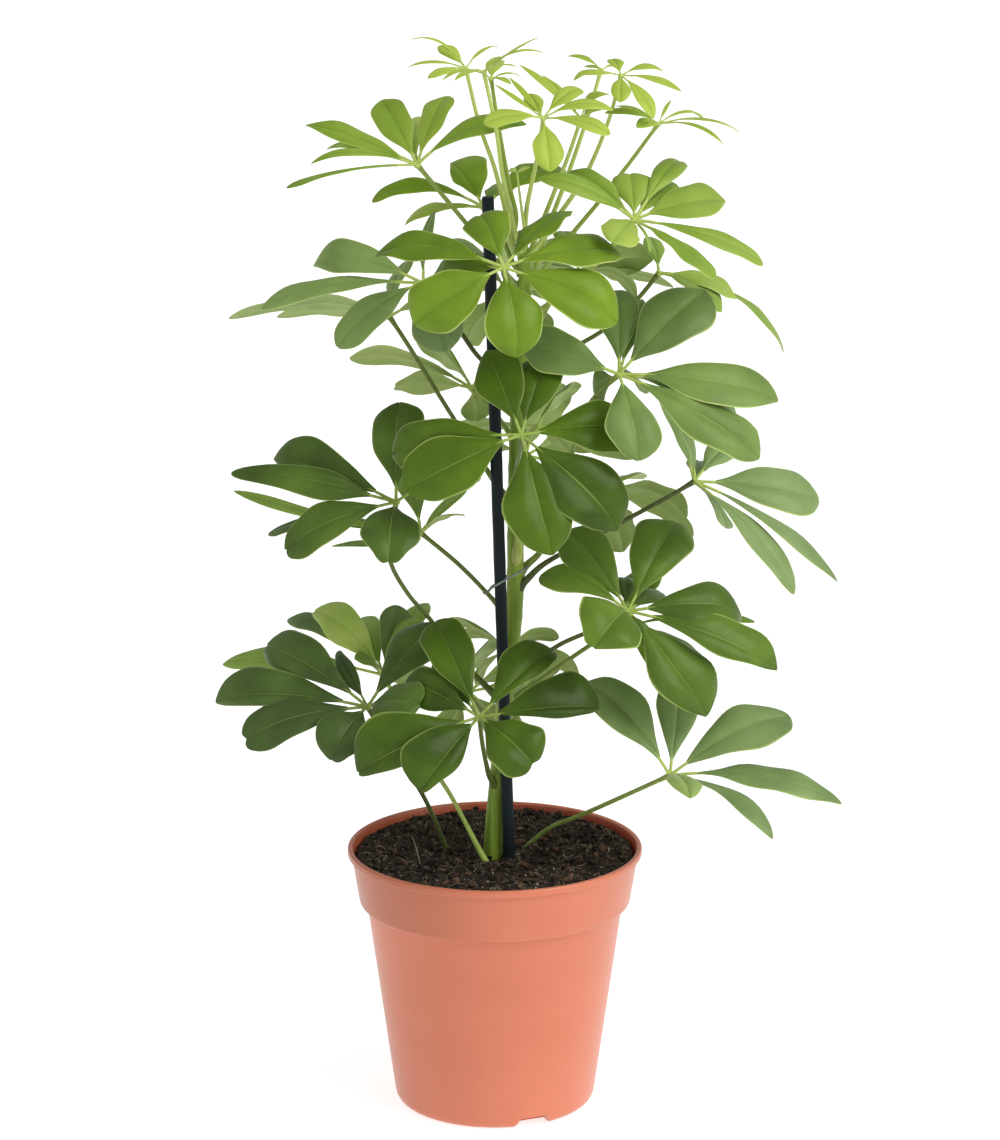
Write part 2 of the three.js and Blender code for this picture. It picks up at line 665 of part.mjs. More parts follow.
let soil = solid(compost());
soil = soil.subtract(hole(stemPoints[0], stemPoints[1], stemFootRadius + 0.1, 12));
soil = soil.subtract(hole(stakeLow, stakeLow.clone().lerp(stakeHigh, 0.22), stakeRadius + 0.1, 10));
for (const leaf of leaves.filter((one) => one.soil)) {
  const [buried, surface, free] = petioleCourse(leaf);
  const bottom = buried.clone().lerp(surface, -0.03);
  const width = petioleFootRadius + gap + 0.4;
  soil = soil.subtract(solid(rod([bottom, surface, free], [width, width, width], 8)));
}
add("soil", geometryOf(soil), 0x2a1c15, 0.95);

// Wire tie: one loop round stem and stake, with its ends twisted together at the left
function tieLoop() {
  const course = [
    [-2.6, 307, 9], [0.6, 309, 15.2], [7, 313, 15.4], [15, 317.5, 8], [19, 320.5, 0],
    [16, 320.5, -8], [9, 316.5, -8.6], [3, 311.5, -5], [-1.6, 308.5, 2],
  ];
  const curve = new THREE.CatmullRomCurve3(course.map((p) => place(...p)), true, "centripetal");
  const steps = 22;
  const rings = [];
  for (let i = 0; i < steps; i++) {
    const point = curve.getPointAt(i / steps);
    const along = curve.getTangentAt(i / steps);
    const side = v3(0, 0, 1).cross(along).normalize();
    const lift = along.clone().cross(side);
    const ring = [];
    for (let k = 0; k < 5; k++) {
      const turn = (2 * Math.PI * k) / 5;
      ring.push(
        point.clone().addScaledVector(side, tieRadius * Math.cos(turn)).addScaledVector(lift, tieRadius * Math.sin(turn)),
      );
    }
    rings.push(ring);
  }
  const points = rings.flat().flatMap((p) => [p.x, p.y, p.z]);
  const index = [];
  for (let i = 0; i < steps; i++) {
    for (let k = 0; k < 5; k++) {
      const a = i * 5 + k;
      const b = i * 5 + ((k + 1) % 5);
      const c = ((i + 1) % steps) * 5 + ((k + 1) % 5);
      const d = ((i + 1) % steps) * 5 + k;
      index.push(a, b, c, a, c, d);
    }
  }
  const geometry = new THREE.BufferGeometry();
  geometry.setAttribute("position", new THREE.Float32BufferAttribute(points, 3));
  geometry.setIndex(index);
  return geometry;
}

const tieTail = rod([place(-2.4, 307, 8.6), place(-5.2, 304.6, 9.5), place(-6.6, 305, 11)], [0.9, 0.9, 0.7], 5);
add("wire_tie", geometryOf(solid(tieLoop()).add(solid(tieTail))), 0x8c9a8c, 0.5);

export default group;
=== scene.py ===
import math
import random

import bmesh
import bpy
import numpy as np
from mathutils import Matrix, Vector, noise


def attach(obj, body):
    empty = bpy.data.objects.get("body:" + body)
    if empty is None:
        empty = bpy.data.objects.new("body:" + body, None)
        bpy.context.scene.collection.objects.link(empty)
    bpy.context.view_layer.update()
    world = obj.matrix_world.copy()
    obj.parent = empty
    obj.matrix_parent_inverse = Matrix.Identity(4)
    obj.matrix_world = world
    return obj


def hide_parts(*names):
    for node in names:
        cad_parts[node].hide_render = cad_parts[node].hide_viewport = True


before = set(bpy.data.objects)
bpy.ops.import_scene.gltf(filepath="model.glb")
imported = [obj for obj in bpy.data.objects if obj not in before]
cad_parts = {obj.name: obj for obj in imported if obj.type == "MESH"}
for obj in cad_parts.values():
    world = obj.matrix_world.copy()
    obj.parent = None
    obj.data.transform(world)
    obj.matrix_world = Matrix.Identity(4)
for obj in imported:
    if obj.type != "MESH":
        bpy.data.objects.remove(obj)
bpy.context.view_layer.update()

# Studio: a pale sheet of paper as floor, white walls all round, a big soft lamp high on the right in front,
# and the camera where the photographer stood, looking a little down. Camera places are in millimetres.
camera_across, camera_up, camera_away = 3, 938, 2400
camera_tilt = 14.48
sensor_width = 36
focal_pixels, picture_pixels = 4352, 1140
paper_reach = 90


def put_in_scene(name, data):
    made = bpy.data.objects.new(name, data)
    bpy.context.scene.collection.objects.link(made)
    return made


def feed(tree, node, values):
    """Sets each socket named to its value, or links it to the output of another node."""
    for socket, value in values.items():
        if isinstance(value, bpy.types.NodeSocket):
            tree.links.new(value, node.inputs[socket])
        else:
            node.inputs[socket].default_value = value
    return node


def new_finish(name, values):
    """Makes a material, with values for the sockets of its surface."""
    made = bpy.data.materials.new(name)
    made.use_nodes = True
    feed(made.node_tree, made.node_tree.nodes["Principled BSDF"], values)
    return made


floor_mesh = bpy.data.meshes.new("floor")
floor_corners = [(x * paper_reach, y * paper_reach, 0) for x, y in ((-1, -1), (1, -1), (1, 1), (-1, 1))]
floor_mesh.from_pydata(floor_corners, [], [(0, 1, 2, 3)])
floor = put_in_scene("floor", floor_mesh)
floor_mesh.materials.append(new_finish("studio_paper", {
    "Base Color": (0.5, 0.5, 0.5, 1), "Roughness": 0.95, "Specular IOR Level": 0.1,
    "Emission Color": (1, 1, 1, 1), "Emission Strength": 0.75,
}))

bpy.context.scene.view_settings.view_transform = "Standard"
room = bpy.data.worlds.new("white_room")
room.use_nodes = True
feed(room.node_tree, room.node_tree.nodes["Background"], {"Color": (1, 1, 1, 1), "Strength": 0.55})
bpy.context.scene.world = room


def soft_lamp(name, shines_from, spread, power):
    lamp = bpy.data.lights.new(name, "SUN")
    lamp.angle = math.radians(spread)
    lamp.energy = power
    put_in_scene(name, lamp).rotation_euler = Vector(shines_from).to_track_quat("Z", "Y").to_euler()


soft_lamp("lamp_right", (1.5, -0.9, 1.35), 44, 2.2)
soft_lamp("lamp_left", (-1.3, -0.9, 0.9), 70, 0.25)

camera_data = bpy.data.cameras.new("camera")
camera_data.sensor_width = sensor_width
camera_data.lens = sensor_width * focal_pixels / picture_pixels
camera = put_in_scene("camera", camera_data)
camera.location = (camera_across / 1e3, -camera_away / 1e3, camera_up / 1e3)
camera.rotation_euler = (math.radians(90 - camera_tilt), 0, 0)
bpy.context.scene.camera = camera

# Pot: a 17 cm nursery pot, injection moulded in thin terracotta-coloured plastic. It has a deep collar, a
# rolled lip and a rounded foot that three drain notches are moulded into.
rim_radius = 85.0
pot_height = 154.0
collar_foot = 121.5
collar_foot_radius = 78.6
body_top_radius = 74.2
foot_radius = 57.4
lip_overhang = 1.6
pot_wall = 1.6
floor_top = 2.4
foot_ring_height, foot_ring_radius = 7.4, 42.0
out_of_round = 0.25
pot_turns = 180
notch_count, first_notch, notch_depth = 3, -67, 13
# The block that leaves a notch: half its width and its height, at its bottom and its top
notch_block = ((12.4, -1.5), (8.2, 6.8))
notch_eased = 0.9


def body_radius(height):
    return foot_radius + (body_top_radius - foot_radius) * height / collar_foot


def collar_radius(height):
    rise = (height - collar_foot) / (pot_height - collar_foot)
    return collar_foot_radius + (rim_radius - lip_overhang - collar_foot_radius) * rise


def rounded(corner_a, corner, corner_b, radius, steps=5):
    """Points of a rounded corner between two straight runs of the profile."""
    a, c, b = (np.array(p, float) for p in (corner_a, corner, corner_b))
    start, end = (c + (p - c) / np.linalg.norm(p - c) * radius for p in (a, b))
    shares = np.linspace(0, 1, steps + 1)[:, None]
    return [tuple(p) for p in (1 - shares) ** 2 * start + 2 * shares * (1 - shares) * c + shares**2 * end]


# The outline runs from the middle of the base up the outside, over the lip and down the inside. Each corner
# is a radius, a height and how far it is rounded.
pot_corners = [
    (0.5, 0.0, 0),
    (foot_radius, 0.0, 6.5),
    (body_radius(60), 60.0, 0.5),
    (body_radius(collar_foot - 2.6), collar_foot - 2.6, 0.8),
    (collar_foot_radius - 0.3, collar_foot, 1.6),
    (collar_radius(pot_height - 5), pot_height - 5, 0.8),
    (rim_radius + 0.1, pot_height - 4.2, 0.9),
    (rim_radius, pot_height + 0.1, 1.7),
    (rim_radius - 2.9, pot_height - 0.2, 1.1),
    (collar_radius(pot_height - 6) - pot_wall, pot_height - 6, 1.5),
    (collar_radius(collar_foot + 4) - pot_wall, collar_foot + 4, 1.5),
    (body_radius(collar_foot - 1) - pot_wall, collar_foot - 1, 1.5),
    (body_radius(11) - pot_wall, 11.0, 1.5),
    (body_radius(foot_ring_height) - pot_wall - 2, foot_ring_height, 1.2),
    (foot_ring_radius, foot_ring_height, 1.0),
    (foot_ring_radius - 3, floor_top, 1.0),
    (0.5, floor_top, 0),
]
pot_profile = [pot_corners[0][:2]]
for before, here, after in zip(pot_corners, pot_corners[1:], pot_corners[2:]):
    pot_profile += rounded(before[:2], here[:2], after[:2], here[2])
pot_profile.append(pot_corners[-1][:2])
pot_form = bmesh.new()
pot_rings = []
for radius, height in pot_profile:
    ring = []
    for k in range(pot_turns):
        turn = 2 * math.pi * k / pot_turns
        # The thin wall is a hair out of round, as such pots are
        out = radius + out_of_round * math.sin(2 * turn + 0.7) * height / pot_height
        spot = (out * math.cos(turn) / 1e3, out * math.sin(turn) / 1e3, height / 1e3)
        ring.append(pot_form.verts.new(spot))
    pot_rings.append(ring)
for low, high in zip(pot_rings, pot_rings[1:]):
    for k in range(pot_turns):
        pot_form.faces.new((low[k], low[(k + 1) % pot_turns], high[(k + 1) % pot_turns], high[k]))
pot_form.faces.new(list(reversed(pot_rings[0])))
pot_form.faces.new(pot_rings[-1])
pot_mesh = bpy.data.meshes.new("nursery_pot")
pot_form.to_mesh(pot_mesh)
pot_form.free()
pot = put_in_scene("nursery_pot", pot_mesh)
for number in range(notch_count):
    block = bmesh.new()
    around = math.radians(first_notch + 360 / notch_count * number)
    corners = []
    for reach in (foot_radius - notch_depth, foot_radius + 8):
        for half, height in notch_block:
            for side in (-1, 1):
                x = reach * math.cos(around) - side * half * math.sin(around)
                y = reach * math.sin(around) + side * half * math.cos(around)
                corners.append(block.verts.new((x / 1e3, y / 1e3, height / 1e3)))
    for face in ((0, 1, 3, 2), (4, 6, 7, 5), (0, 4, 5, 1), (2, 3, 7, 6), (0, 2, 6, 4), (1, 5, 7, 3)):
        block.faces.new([corners[i] for i in face])
    bmesh.ops.recalc_face_normals(block, faces=block.faces)
    bmesh.ops.bevel(
        block, geom=block.edges[:], offset=notch_eased / 1e3, segments=3, profile=0.5, affect="EDGES")
    block_mesh = bpy.data.meshes.new("notch_block")
    block.to_mesh(block_mesh)
    block.free()
    bite = put_in_scene("notch_block", block_mesh)
    cut = pot.modifiers.new("notch", "BOOLEAN")
    cut.object = bite
    cut.operation = "DIFFERENCE"
    cut.solver = "EXACT"
    bpy.context.view_layer.objects.active = pot
    bpy.ops.object.modifier_apply(modifier=cut.name)
    bpy.data.objects.remove(bite)
pot_mesh = pot.data


def round_shading(mesh, sharp=None):
    """Shades a mesh as round, but for the edges that are sharper than an angle in degrees."""
    mesh.polygons.foreach_set("use_smooth", [True] * len(mesh.polygons))
    if sharp:
        mesh.set_sharp_from_angle(angle=math.radians(sharp))


round_shading(pot_mesh, 38)


def add_node(tree, kind, values, **settings):
    """Adds a shader node with its settings and feeds its sockets."""
    made = tree.nodes.new("ShaderNode" + kind)
    for name, value in settings.items():
        setattr(made, name, value)
    return feed(tree, made, values)


def ramp(tree, share, stops):
    """Colours from a share. Each stop is a position and a colour."""
    made = add_node(tree, "ValToRGB", {"Fac": share})
    held = made.color_ramp.elements
    while len(held) < len(stops):
        held.new(0.5)
    for stop, (position, colour) in zip(held, stops):
        stop.position = position
        stop.color = (*colour, 1)
    return made.outputs["Color"]


def span(tree, value, first, last, levels=(0, 1), kind="LINEAR"):
    """Levels that follow a value from its first limit to its last."""
    limits = {"Value": value, "From Min": first, "From Max": last, "To Min": levels[0], "To Max": levels[1]}
    return add_node(tree, "MapRange", limits, interpolation_type=kind).outputs["Result"]


def overlay(tree, share, below, colour):
    """Lays one colour over others by a share."""
    made = add_node(tree, "MixRGB", {"Fac": share, "Color1": below, "Color2": (*colour, 1)})
    return made.outputs["Color"]


def cloud(tree, where, scale, detail):
    return add_node(tree, "TexNoise", {"Vector": where, "Scale": scale, "Detail": detail}).outputs["Fac"]


def relief(tree, height, strength, depth):
    made = add_node(tree, "Bump", {"Height": height, "Strength": strength, "Distance": depth})
    return made.outputs["Normal"]


def reckon(tree, kind, *terms):
    return add_node(tree, "Math", dict(enumerate(terms)), operation=kind).outputs[0]


def moulded_plastic(name, deep, light, left_light_and_shade):
    """Smooth plastic with slight flow marks, pale specks and fine pores, and painted light and shade on the
    collar's left.
    """
    made = new_finish(name, {"Subsurface Weight": 0.12, "Subsurface Radius": (0.006, 0.002, 0.001)})
    tree = made.node_tree
    where = add_node(tree, "TexCoord", {}).outputs["Object"]
    stretched = add_node(tree, "Mapping", {"Vector": where, "Scale": (1, 1, 1.6)}).outputs["Vector"]
    flow = cloud(tree, stretched, 9, 4)
    tint = ramp(tree, flow, [(0.3, deep), (0.72, light)])
    spot = add_node(tree, "SeparateXYZ", {"Vector": where})
    # Painted light and shade: above the collar's shoulder the left side takes another colour. Outside it is
    # darker, as painted shade; inside it is lighter, as painted light where the lamp falls.
    to_left = span(tree, spot.outputs["X"], 0.02, -0.06, kind="SMOOTHSTEP")
    above_shoulder = span(tree, spot.outputs["Z"], 0.119, 0.1225, kind="SMOOTHSTEP")
    lit_and_shaded_left = overlay(tree, reckon(tree, "MULTIPLY", to_left, above_shoulder), tint, left_light_and_shade)
    specks = add_node(tree, "TexVoronoi", {"Vector": where, "Scale": 420}).outputs["Distance"]
    dust = ramp(tree, specks, [(0.02, (1, 1, 1)), (0.07, (0, 0, 0))])
    feed(tree, tree.nodes["Principled BSDF"], {
        "Base Color": overlay(tree, dust, lit_and_shaded_left, (0.72, 0.28, 0.18)),
        "Roughness": span(tree, flow, 0, 1, (0.29, 0.38)),
        "Normal": relief(tree, cloud(tree, where, 2600, 2), 0.12, 0.0002),
    })
    return made


pot_mesh.materials.append(moulded_plastic(
    "terracotta_plastic", (0.56, 0.158, 0.080), (0.62, 0.186, 0.099), (0.44, 0.125, 0.06)))
# Inside, the plastic is given a deeper red: painted shade for the inner wall, which lies in the pot's own shade
pot_mesh.materials.append(moulded_plastic(
    "terracotta_plastic_inside_shaded", (0.44, 0.07, 0.03), (0.52, 0.10, 0.05), (0.56, 0.13, 0.065)))
# The inward faces below the lip take the painted shade of the inner wall
for side in pot_mesh.polygons:
    x, y, z = side.center
    inward = side.normal.x * x + side.normal.y * y < 0
    below_lip = 0.009 < z < (pot_height - 2.5) / 1e3
    side.material_index = 1 if inward and below_lip and math.hypot(x, y) > 0.03 else 0
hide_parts("pot")
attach(pot, "root")

# Compost: peat potting mix that fills the pot down to its floor, a little hollow round the stem and banked up
# to just below the lip. It is crumbs, lumps, short root fibres and bark, pressed in by hand.
soil_level = 147.0
soil_edge = rim_radius - 5.2
spokes, soil_rings = 260, 80
buried_rings = [(78.2, 127), (71.7, 119), (57.8, 12), (54, 8.2), (41, 7.9), (38.2, 2.8)]
chance = random.Random(41)
peat, lump, dark_lump, bark, fibre = range(5)
crumb_count, bark_speck_count, bark_chip_count, fibre_count = 1250, 330, 50, 300


def ground(x, y):
    """Height of the compost, in millimetres, at a place in the pot."""
    far = min(1.0, math.hypot(x, y) / soil_edge)
    bank = min(1.0, max(0.0, (far - 0.4) / 0.5))
    dish = soil_level + 1.2 + 2.6 * bank * bank * (3 - 2 * bank)
    lumps = 2.2 * noise.noise(Vector((x / 16, y / 16, 3.1)))
    lumps += 2.0 * noise.noise(Vector((x / 5.5, y / 5.5, 7.7)))
    crumbs = 1.5 * noise.noise(Vector((x / 2.2, y / 2.2, 1.3))) + 0.5 * noise.noise(Vector((x, y, 5.9)))
    settle = -1.2 * max(0.0, (far - 0.93) / 0.07) ** 2
    return dish + (lumps + crumbs) * (1 - 0.55 * far**6) + settle


compost_verts, compost_faces = [(0, 0, ground(0, 0))], []


def compost_ring(radius, height=None):
    """Adds a ring of corners, on the rough surface or at a height, and joins it to the one before."""
    start = len(compost_verts)
    for k in range(spokes):
        turn = 2 * math.pi * k / spokes
        x, y = radius * math.cos(turn), radius * math.sin(turn)
        compost_verts.append((x, y, ground(x, y) if height is None else height))
        after = (k + 1) % spokes
        if start == 1:
            compost_faces.append((0, start + k, start + after))
        else:
            compost_faces.append((start - spokes + k, start + k, start + after, start - spokes + after))


for k in range(1, soil_rings + 1):
    compost_ring(soil_edge * (k / soil_rings) ** 0.9)
# The buried side follows the inside of the pot down to its floor
for radius, height in buried_rings:
    compost_ring(radius, height)
compost_faces.append(tuple(reversed(range(len(compost_verts) - spokes, len(compost_verts)))))
compost_slots = [peat] * len(compost_faces)
crumb_form = bmesh.new()
bmesh.ops.create_icosphere(crumb_form, subdivisions=2, radius=1)
crumb_form.verts.ensure_lookup_table()
crumb_corners = [vert.co.copy() for vert in crumb_form.verts]
crumb_sides = [tuple(vert.index for vert in face.verts) for face in crumb_form.faces]
crumb_form.free()


def crumb(x, y, size, slot, sink=0.25):
    turn = Vector((chance.random(), chance.random(), chance.random())) * 9
    wide, deep, tall = (size * chance.uniform(*limits) for limits in ((0.7, 1.5), (0.5, 1.0), (0.45, 0.9)))
    angle, lean = chance.uniform(0, math.pi), chance.uniform(-0.5, 0.5)
    start, z = len(compost_verts), ground(x, y) + size * (0.6 - sink)
    for corner in crumb_corners:
        rough = 1 + 0.7 * noise.noise(corner * 1.3 + turn) + 0.5 * noise.noise(corner * 3.1 + turn)
        px, py = corner.x * wide * rough, corner.y * deep * rough
        pz = corner.z * tall * rough + corner.x * wide * lean
        compost_verts.append((
            x + px * math.cos(angle) - py * math.sin(angle),
            y + px * math.sin(angle) + py * math.cos(angle),
            z + pz,
        ))
    compost_faces.extend(tuple(start + i for i in side) for side in crumb_sides)
    compost_slots.extend([slot] * len(crumb_sides))


def somewhere(reach=soil_edge - 2.4):
    radius, turn = reach * math.sqrt(chance.random()), chance.uniform(0, 2 * math.pi)
    return radius * math.cos(turn), radius * math.sin(turn)


crumb_kinds = (peat, peat, lump, dark_lump, dark_lump)
for _ in range(crumb_count):
    crumb(*somewhere(), chance.choice((0.5, 0.7, 1.0, 1.3, 1.8)), chance.choice(crumb_kinds))
for _ in range(bark_speck_count):
    crumb(*somewhere(), chance.uniform(0.3, 0.75), chance.choice((bark, fibre, fibre)), sink=0)
for _ in range(bark_chip_count):
    crumb(*somewhere(soil_edge - 5), chance.uniform(1.5, 2.6), bark, sink=0.2)
for _ in range(fibre_count):
    # A root or coir fibre, three sided, bent once or twice
    x, y = somewhere()
    heading, length = chance.uniform(0, 2 * math.pi), chance.uniform(2, 7) * chance.choice((1, 1, 1, 2.2))
    thick, lift, before = chance.uniform(0.1, 0.2), chance.uniform(0, 2.2), None
    for k in range(5):
        share = k / 4
        z = ground(x, y) + 0.5 + lift * math.sin(math.pi * share)
        start = len(compost_verts)
        for side in range(3):
            turn = 2 * math.pi * side / 3
            out = (-math.sin(heading) * math.cos(turn), math.cos(heading) * math.cos(turn), math.sin(turn))
            compost_verts.append(tuple(p + thick * o * (1 - 0.6 * share) for p, o in zip((x, y, z), out)))
            if before is not None:
                after = (side + 1) % 3
                compost_faces.append((before + side, before + after, start + after, start + side))
                compost_slots.append(fibre)
        before = start
        heading += chance.uniform(-0.5, 0.5)
        x, y = x + length / 4 * math.cos(heading), y + length / 4 * math.sin(heading)
        if math.hypot(x, y) > soil_edge - 1:
            break
# One pale straw stands out of the compost on the left
start = len(compost_verts)
for k in range(7):
    share = k / 6
    x, y = -42 - 6 * share, -26 + 18 * share
    z = soil_level + 15 * share + 2 * math.sin(math.pi * share)
    compost_verts += [(x + 0.3 * math.cos(turn), y + 0.3 * math.sin(turn), z) for turn in (0, 2.1, 4.2)]
for k in range(start, start + 18):
    after = k + 1 if (k - start) % 3 < 2 else k - 2
    compost_faces.append((k, after, after + 3, k + 3))
    compost_slots.append(fibre)
compost_mesh = bpy.data.meshes.new("peat_compost")
compost_mesh.from_pydata([(x / 1e3, y / 1e3, z / 1e3) for x, y, z in compost_verts], [], compost_faces)
round_shading(compost_mesh)
compost_mesh.polygons.foreach_set("material_index", compost_slots)
compost = put_in_scene("peat_compost", compost_mesh)


def grown_material(name, dark, light, scale, roughness, relief_scale, relief_depth, grain=1.0):
    """A natural stuff in two tones, drawn out upright where grain is under 1, with a rough surface."""
    made = new_finish(name, {"Specular IOR Level": 0.22})
    tree = made.node_tree
    where = add_node(tree, "TexCoord", {}).outputs["Object"]
    pulled = add_node(tree, "Mapping", {"Vector": where, "Scale": (1, 1, grain)}).outputs["Vector"]
    patches = cloud(tree, pulled, scale, 5)
    feed(tree, tree.nodes["Principled BSDF"], {
        "Base Color": ramp(tree, patches, [(0.32, dark), (0.7, light)]),
        "Roughness": span(tree, patches, 0, 1, (roughness - 0.08, roughness + 0.08)),
        "Normal": relief(tree, cloud(tree, where, relief_scale, 4), 0.8, relief_depth),
    })
    return made


for finish in (
    grown_material("peat", (0.004, 0.0025, 0.0015), (0.060, 0.038, 0.025), 420, 0.8, 1500, 0.0012),
    grown_material("peat_lump", (0.012, 0.008, 0.005), (0.17, 0.12, 0.085), 420, 0.75, 1400, 0.0010),
    grown_material("dark_peat_lump", (0.004, 0.0025, 0.0015), (0.022, 0.013, 0.008), 300, 0.7, 1400, 0.0010),
    grown_material("bark_chip", (0.030, 0.014, 0.008), (0.16, 0.09, 0.05), 350, 0.75, 1500, 0.0008),
    grown_material("root_fibre", (0.14, 0.12, 0.08), (0.42, 0.37, 0.28), 120, 0.75, 2500, 0.0002),
):
    compost_mesh.materials.append(finish)
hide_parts("soil")
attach(compost, "root")

# Main stem: one smooth green shoot that grew up from the compost. It swells a little at each node, where a
# petiole leaves it, thins to the growing tip, and carries one resting bud in a pale scale.

# How high, how far across and how near the front, and the radius
stem_course = [
    (75, -1.5, 3, 5.6), (148, -1.2, 3, 5.6), (200, 2.4, 1.5, 5.1), (250, 6.8, 0.5, 5.1), (300, 11.4, -1, 5.1),
    (345, 11.8, -1, 4.8), (400, 12.6, -1, 4.4), (450, 15.4, -1, 4.2), (485, 17, -1, 3.9), (506, 15.6, -1, 3.4),
    (514, 14.8, -1, 2.6),
]
node_heights = (194, 216, 240, 255, 291, 317, 338, 360, 378, 396, 432, 452, 470, 484, 497)
# Places from here on are how far across, how high and how near the front
bud_course = [
    (12.2, 320.5, 2.6), (12.3, 322.5, 3.2), (12.6, 326, 3.9), (13, 330, 4), (13.3, 334, 3.8), (13.5, 338, 3.4),
    (13.6, 342, 2.9), (13.6, 345, 2.4),
]
bud_radii = [0.8, 2.2, 3.0, 3.0, 2.5, 1.9, 1.5, 1.0]


def place(across, up, toward):
    """A point in millimetres from how far across, how high and how near the front it stands."""
    near = 1 - toward / camera_away
    return np.array([
        camera_across + (across - camera_across) * near, -toward, camera_up + (up - camera_up) * near])


def smooth_course(points, closed=False, count=40):
    """Evenly spaced points on a smooth curve through the given ones."""
    points = [np.asarray(p, float) for p in points]
    if closed:
        runs = [[points[(i + k) % len(points)] for k in (-1, 0, 1, 2)] for i in range(len(points))]
    else:
        ends = [2 * points[0] - points[1], *points, 2 * points[-1] - points[-2]]
        runs = [ends[i : i + 4] for i in range(len(points) - 1)]
    fine = []
    for p0, p1, p2, p3 in runs:
        a, b, c = (max(np.linalg.norm(q - p) ** 0.5, 1e-4) for p, q in ((p0, p1), (p1, p2), (p2, p3)))
        out = ((p1 - p0) / a - (p2 - p0) / (a + b) + (p2 - p1) / b) * b
        back = ((p2 - p1) / b - (p3 - p1) / (b + c) + (p3 - p2) / c) * b
        for t in np.linspace(0, 1, 24, endpoint=False):
            square, cube = 3 * (p2 - p1) - 2 * out - back, 2 * (p1 - p2) + out + back
            fine.append(p1 + out * t + square * t**2 + cube * t**3)
    fine.append(points[0] if closed else points[-1])
    fine = np.array(fine)
    run = np.concatenate([[0], np.cumsum(np.linalg.norm(np.diff(fine, axis=0), axis=1))])
    spots = np.linspace(0, run[-1], count)
    return np.stack([np.interp(spots, run, fine[:, i]) for i in range(3)], axis=1)


def tube(points, radii, sides, closed=False):
    """Vertices and faces of a round rod along a course, in millimetres."""
    points = np.asarray(points, float)
    if closed:
        along = np.roll(points, -1, axis=0) - np.roll(points, 1, axis=0)
    else:
        along = np.gradient(points, axis=0)
    along /= np.linalg.norm(along, axis=1)[:, None]
    side = np.cross(along[0], (0, 0, 1) if abs(along[0][2]) < 0.9 else (1, 0, 0))
    verts, faces = [], []
    for point, way, radius in zip(points, along, radii):
        side = side - way * side.dot(way)
        side /= np.linalg.norm(side)
        lift = np.cross(way, side)
        for k in range(sides):
            turn = 2 * math.pi * k / sides
            verts.append(point + radius * (side * math.cos(turn) + lift * math.sin(turn)))
    count = len(points)
    for i in range(count if closed else count - 1):
        for k in range(sides):
            after = (k + 1) % sides
            high = (i + 1) % count * sides
            faces.append((i * sides + k, i * sides + after, high + after, high + k))
    if not closed:
        faces.append(tuple(reversed(range(sides))))
        faces.append(tuple(range((count - 1) * sides, count * sides)))
    return verts, faces


def join(verts, faces, more_verts, more_faces):
    """Adds the vertices and faces of a second rod to those of a first."""
    faces += [tuple(i + len(verts) for i in face) for face in more_faces]
    verts += more_verts


def piece_from(name, verts, faces, material, sharp):
    mesh = bpy.data.meshes.new(name)
    mesh.from_pydata([tuple(v / 1e3 for v in vert) for vert in verts], [], faces)
    round_shading(mesh, sharp)
    mesh.materials.append(material)
    return put_in_scene(name, mesh)


stem_points = smooth_course([place(across, up, toward) for up, across, toward, _ in stem_course], count=260)
stem_ups = [row[0] for row in stem_course]
stem_radii = []
for point in stem_points:
    up = camera_up + (point[2] - camera_up) / (1 + point[1] / camera_away)
    radius = np.interp(up, stem_ups, [row[3] for row in stem_course])
    for node_up in node_heights:
        # It swells at the node and is a trace slimmer just above it
        radius += 0.28 * math.exp(-(((up - node_up) / 2.2) ** 2))
        radius -= 0.1 * math.exp(-(((up - node_up - 5) / 5) ** 2))
    stem_radii.append(radius - 0.15)
stem_radii[-1] = 1.6
stem_verts, stem_faces = tube(stem_points, stem_radii, 28)
# A resting bud in its pale scale sits on the front of the stem, just above the wire tie
stem_sides = len(stem_faces)
join(stem_verts, stem_faces, *tube([place(*spot) for spot in bud_course], bud_radii, 20))
stem_skin = grown_material("stem_green", (0.095, 0.175, 0.011), (0.30, 0.41, 0.06), 210, 0.42, 900, 0.0003, 0.1)
stem = piece_from("main_stem_shoot", stem_verts, stem_faces, stem_skin, 50)
bud_scale = grown_material("bud_scale", (0.26, 0.33, 0.06), (0.50, 0.54, 0.19), 240, 0.5, 900, 0.0002, 0.3)
stem.data.materials.append(bud_scale)
for side in stem.data.polygons[stem_sides:]:
    side.material_index = 1
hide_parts("main_stem")
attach(stem, "root")

# Support stake: a round split-cane stick dipped in dark green, almost black paint, sawn off square at the top
# and pushed into the compost beside the stem.
stake_low, stake_high = place(11.7, 40, 7.4), place(-3.8, 533, 14.8)
stake_radius = 3.4
stake_shares = [0, 0.002, *np.linspace(0.02, 0.98, 60), 0.9985, 1]
stake_points = [stake_low + (stake_high - stake_low) * share for share in stake_shares]
stake_middle = [stake_radius + 0.06 * math.sin(k * 1.7) for k in range(60)]
stake_radii = [2.9, stake_radius, *stake_middle, stake_radius, 3.1]
stake_verts, stake_faces = tube(stake_points, stake_radii, 28)
stake_paint = grown_material(
    "dark_green_dip", (0.004, 0.009, 0.010), (0.010, 0.018, 0.020), 90, 0.5, 700, 0.0002, 0.2)
stake_paint.node_tree.nodes["Principled BSDF"].inputs["Specular IOR Level"].default_value = 0.13
stake = piece_from("dipped_stake", stake_verts, stake_faces, stake_paint, 40)
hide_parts("support_stake")
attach(stake, "root")

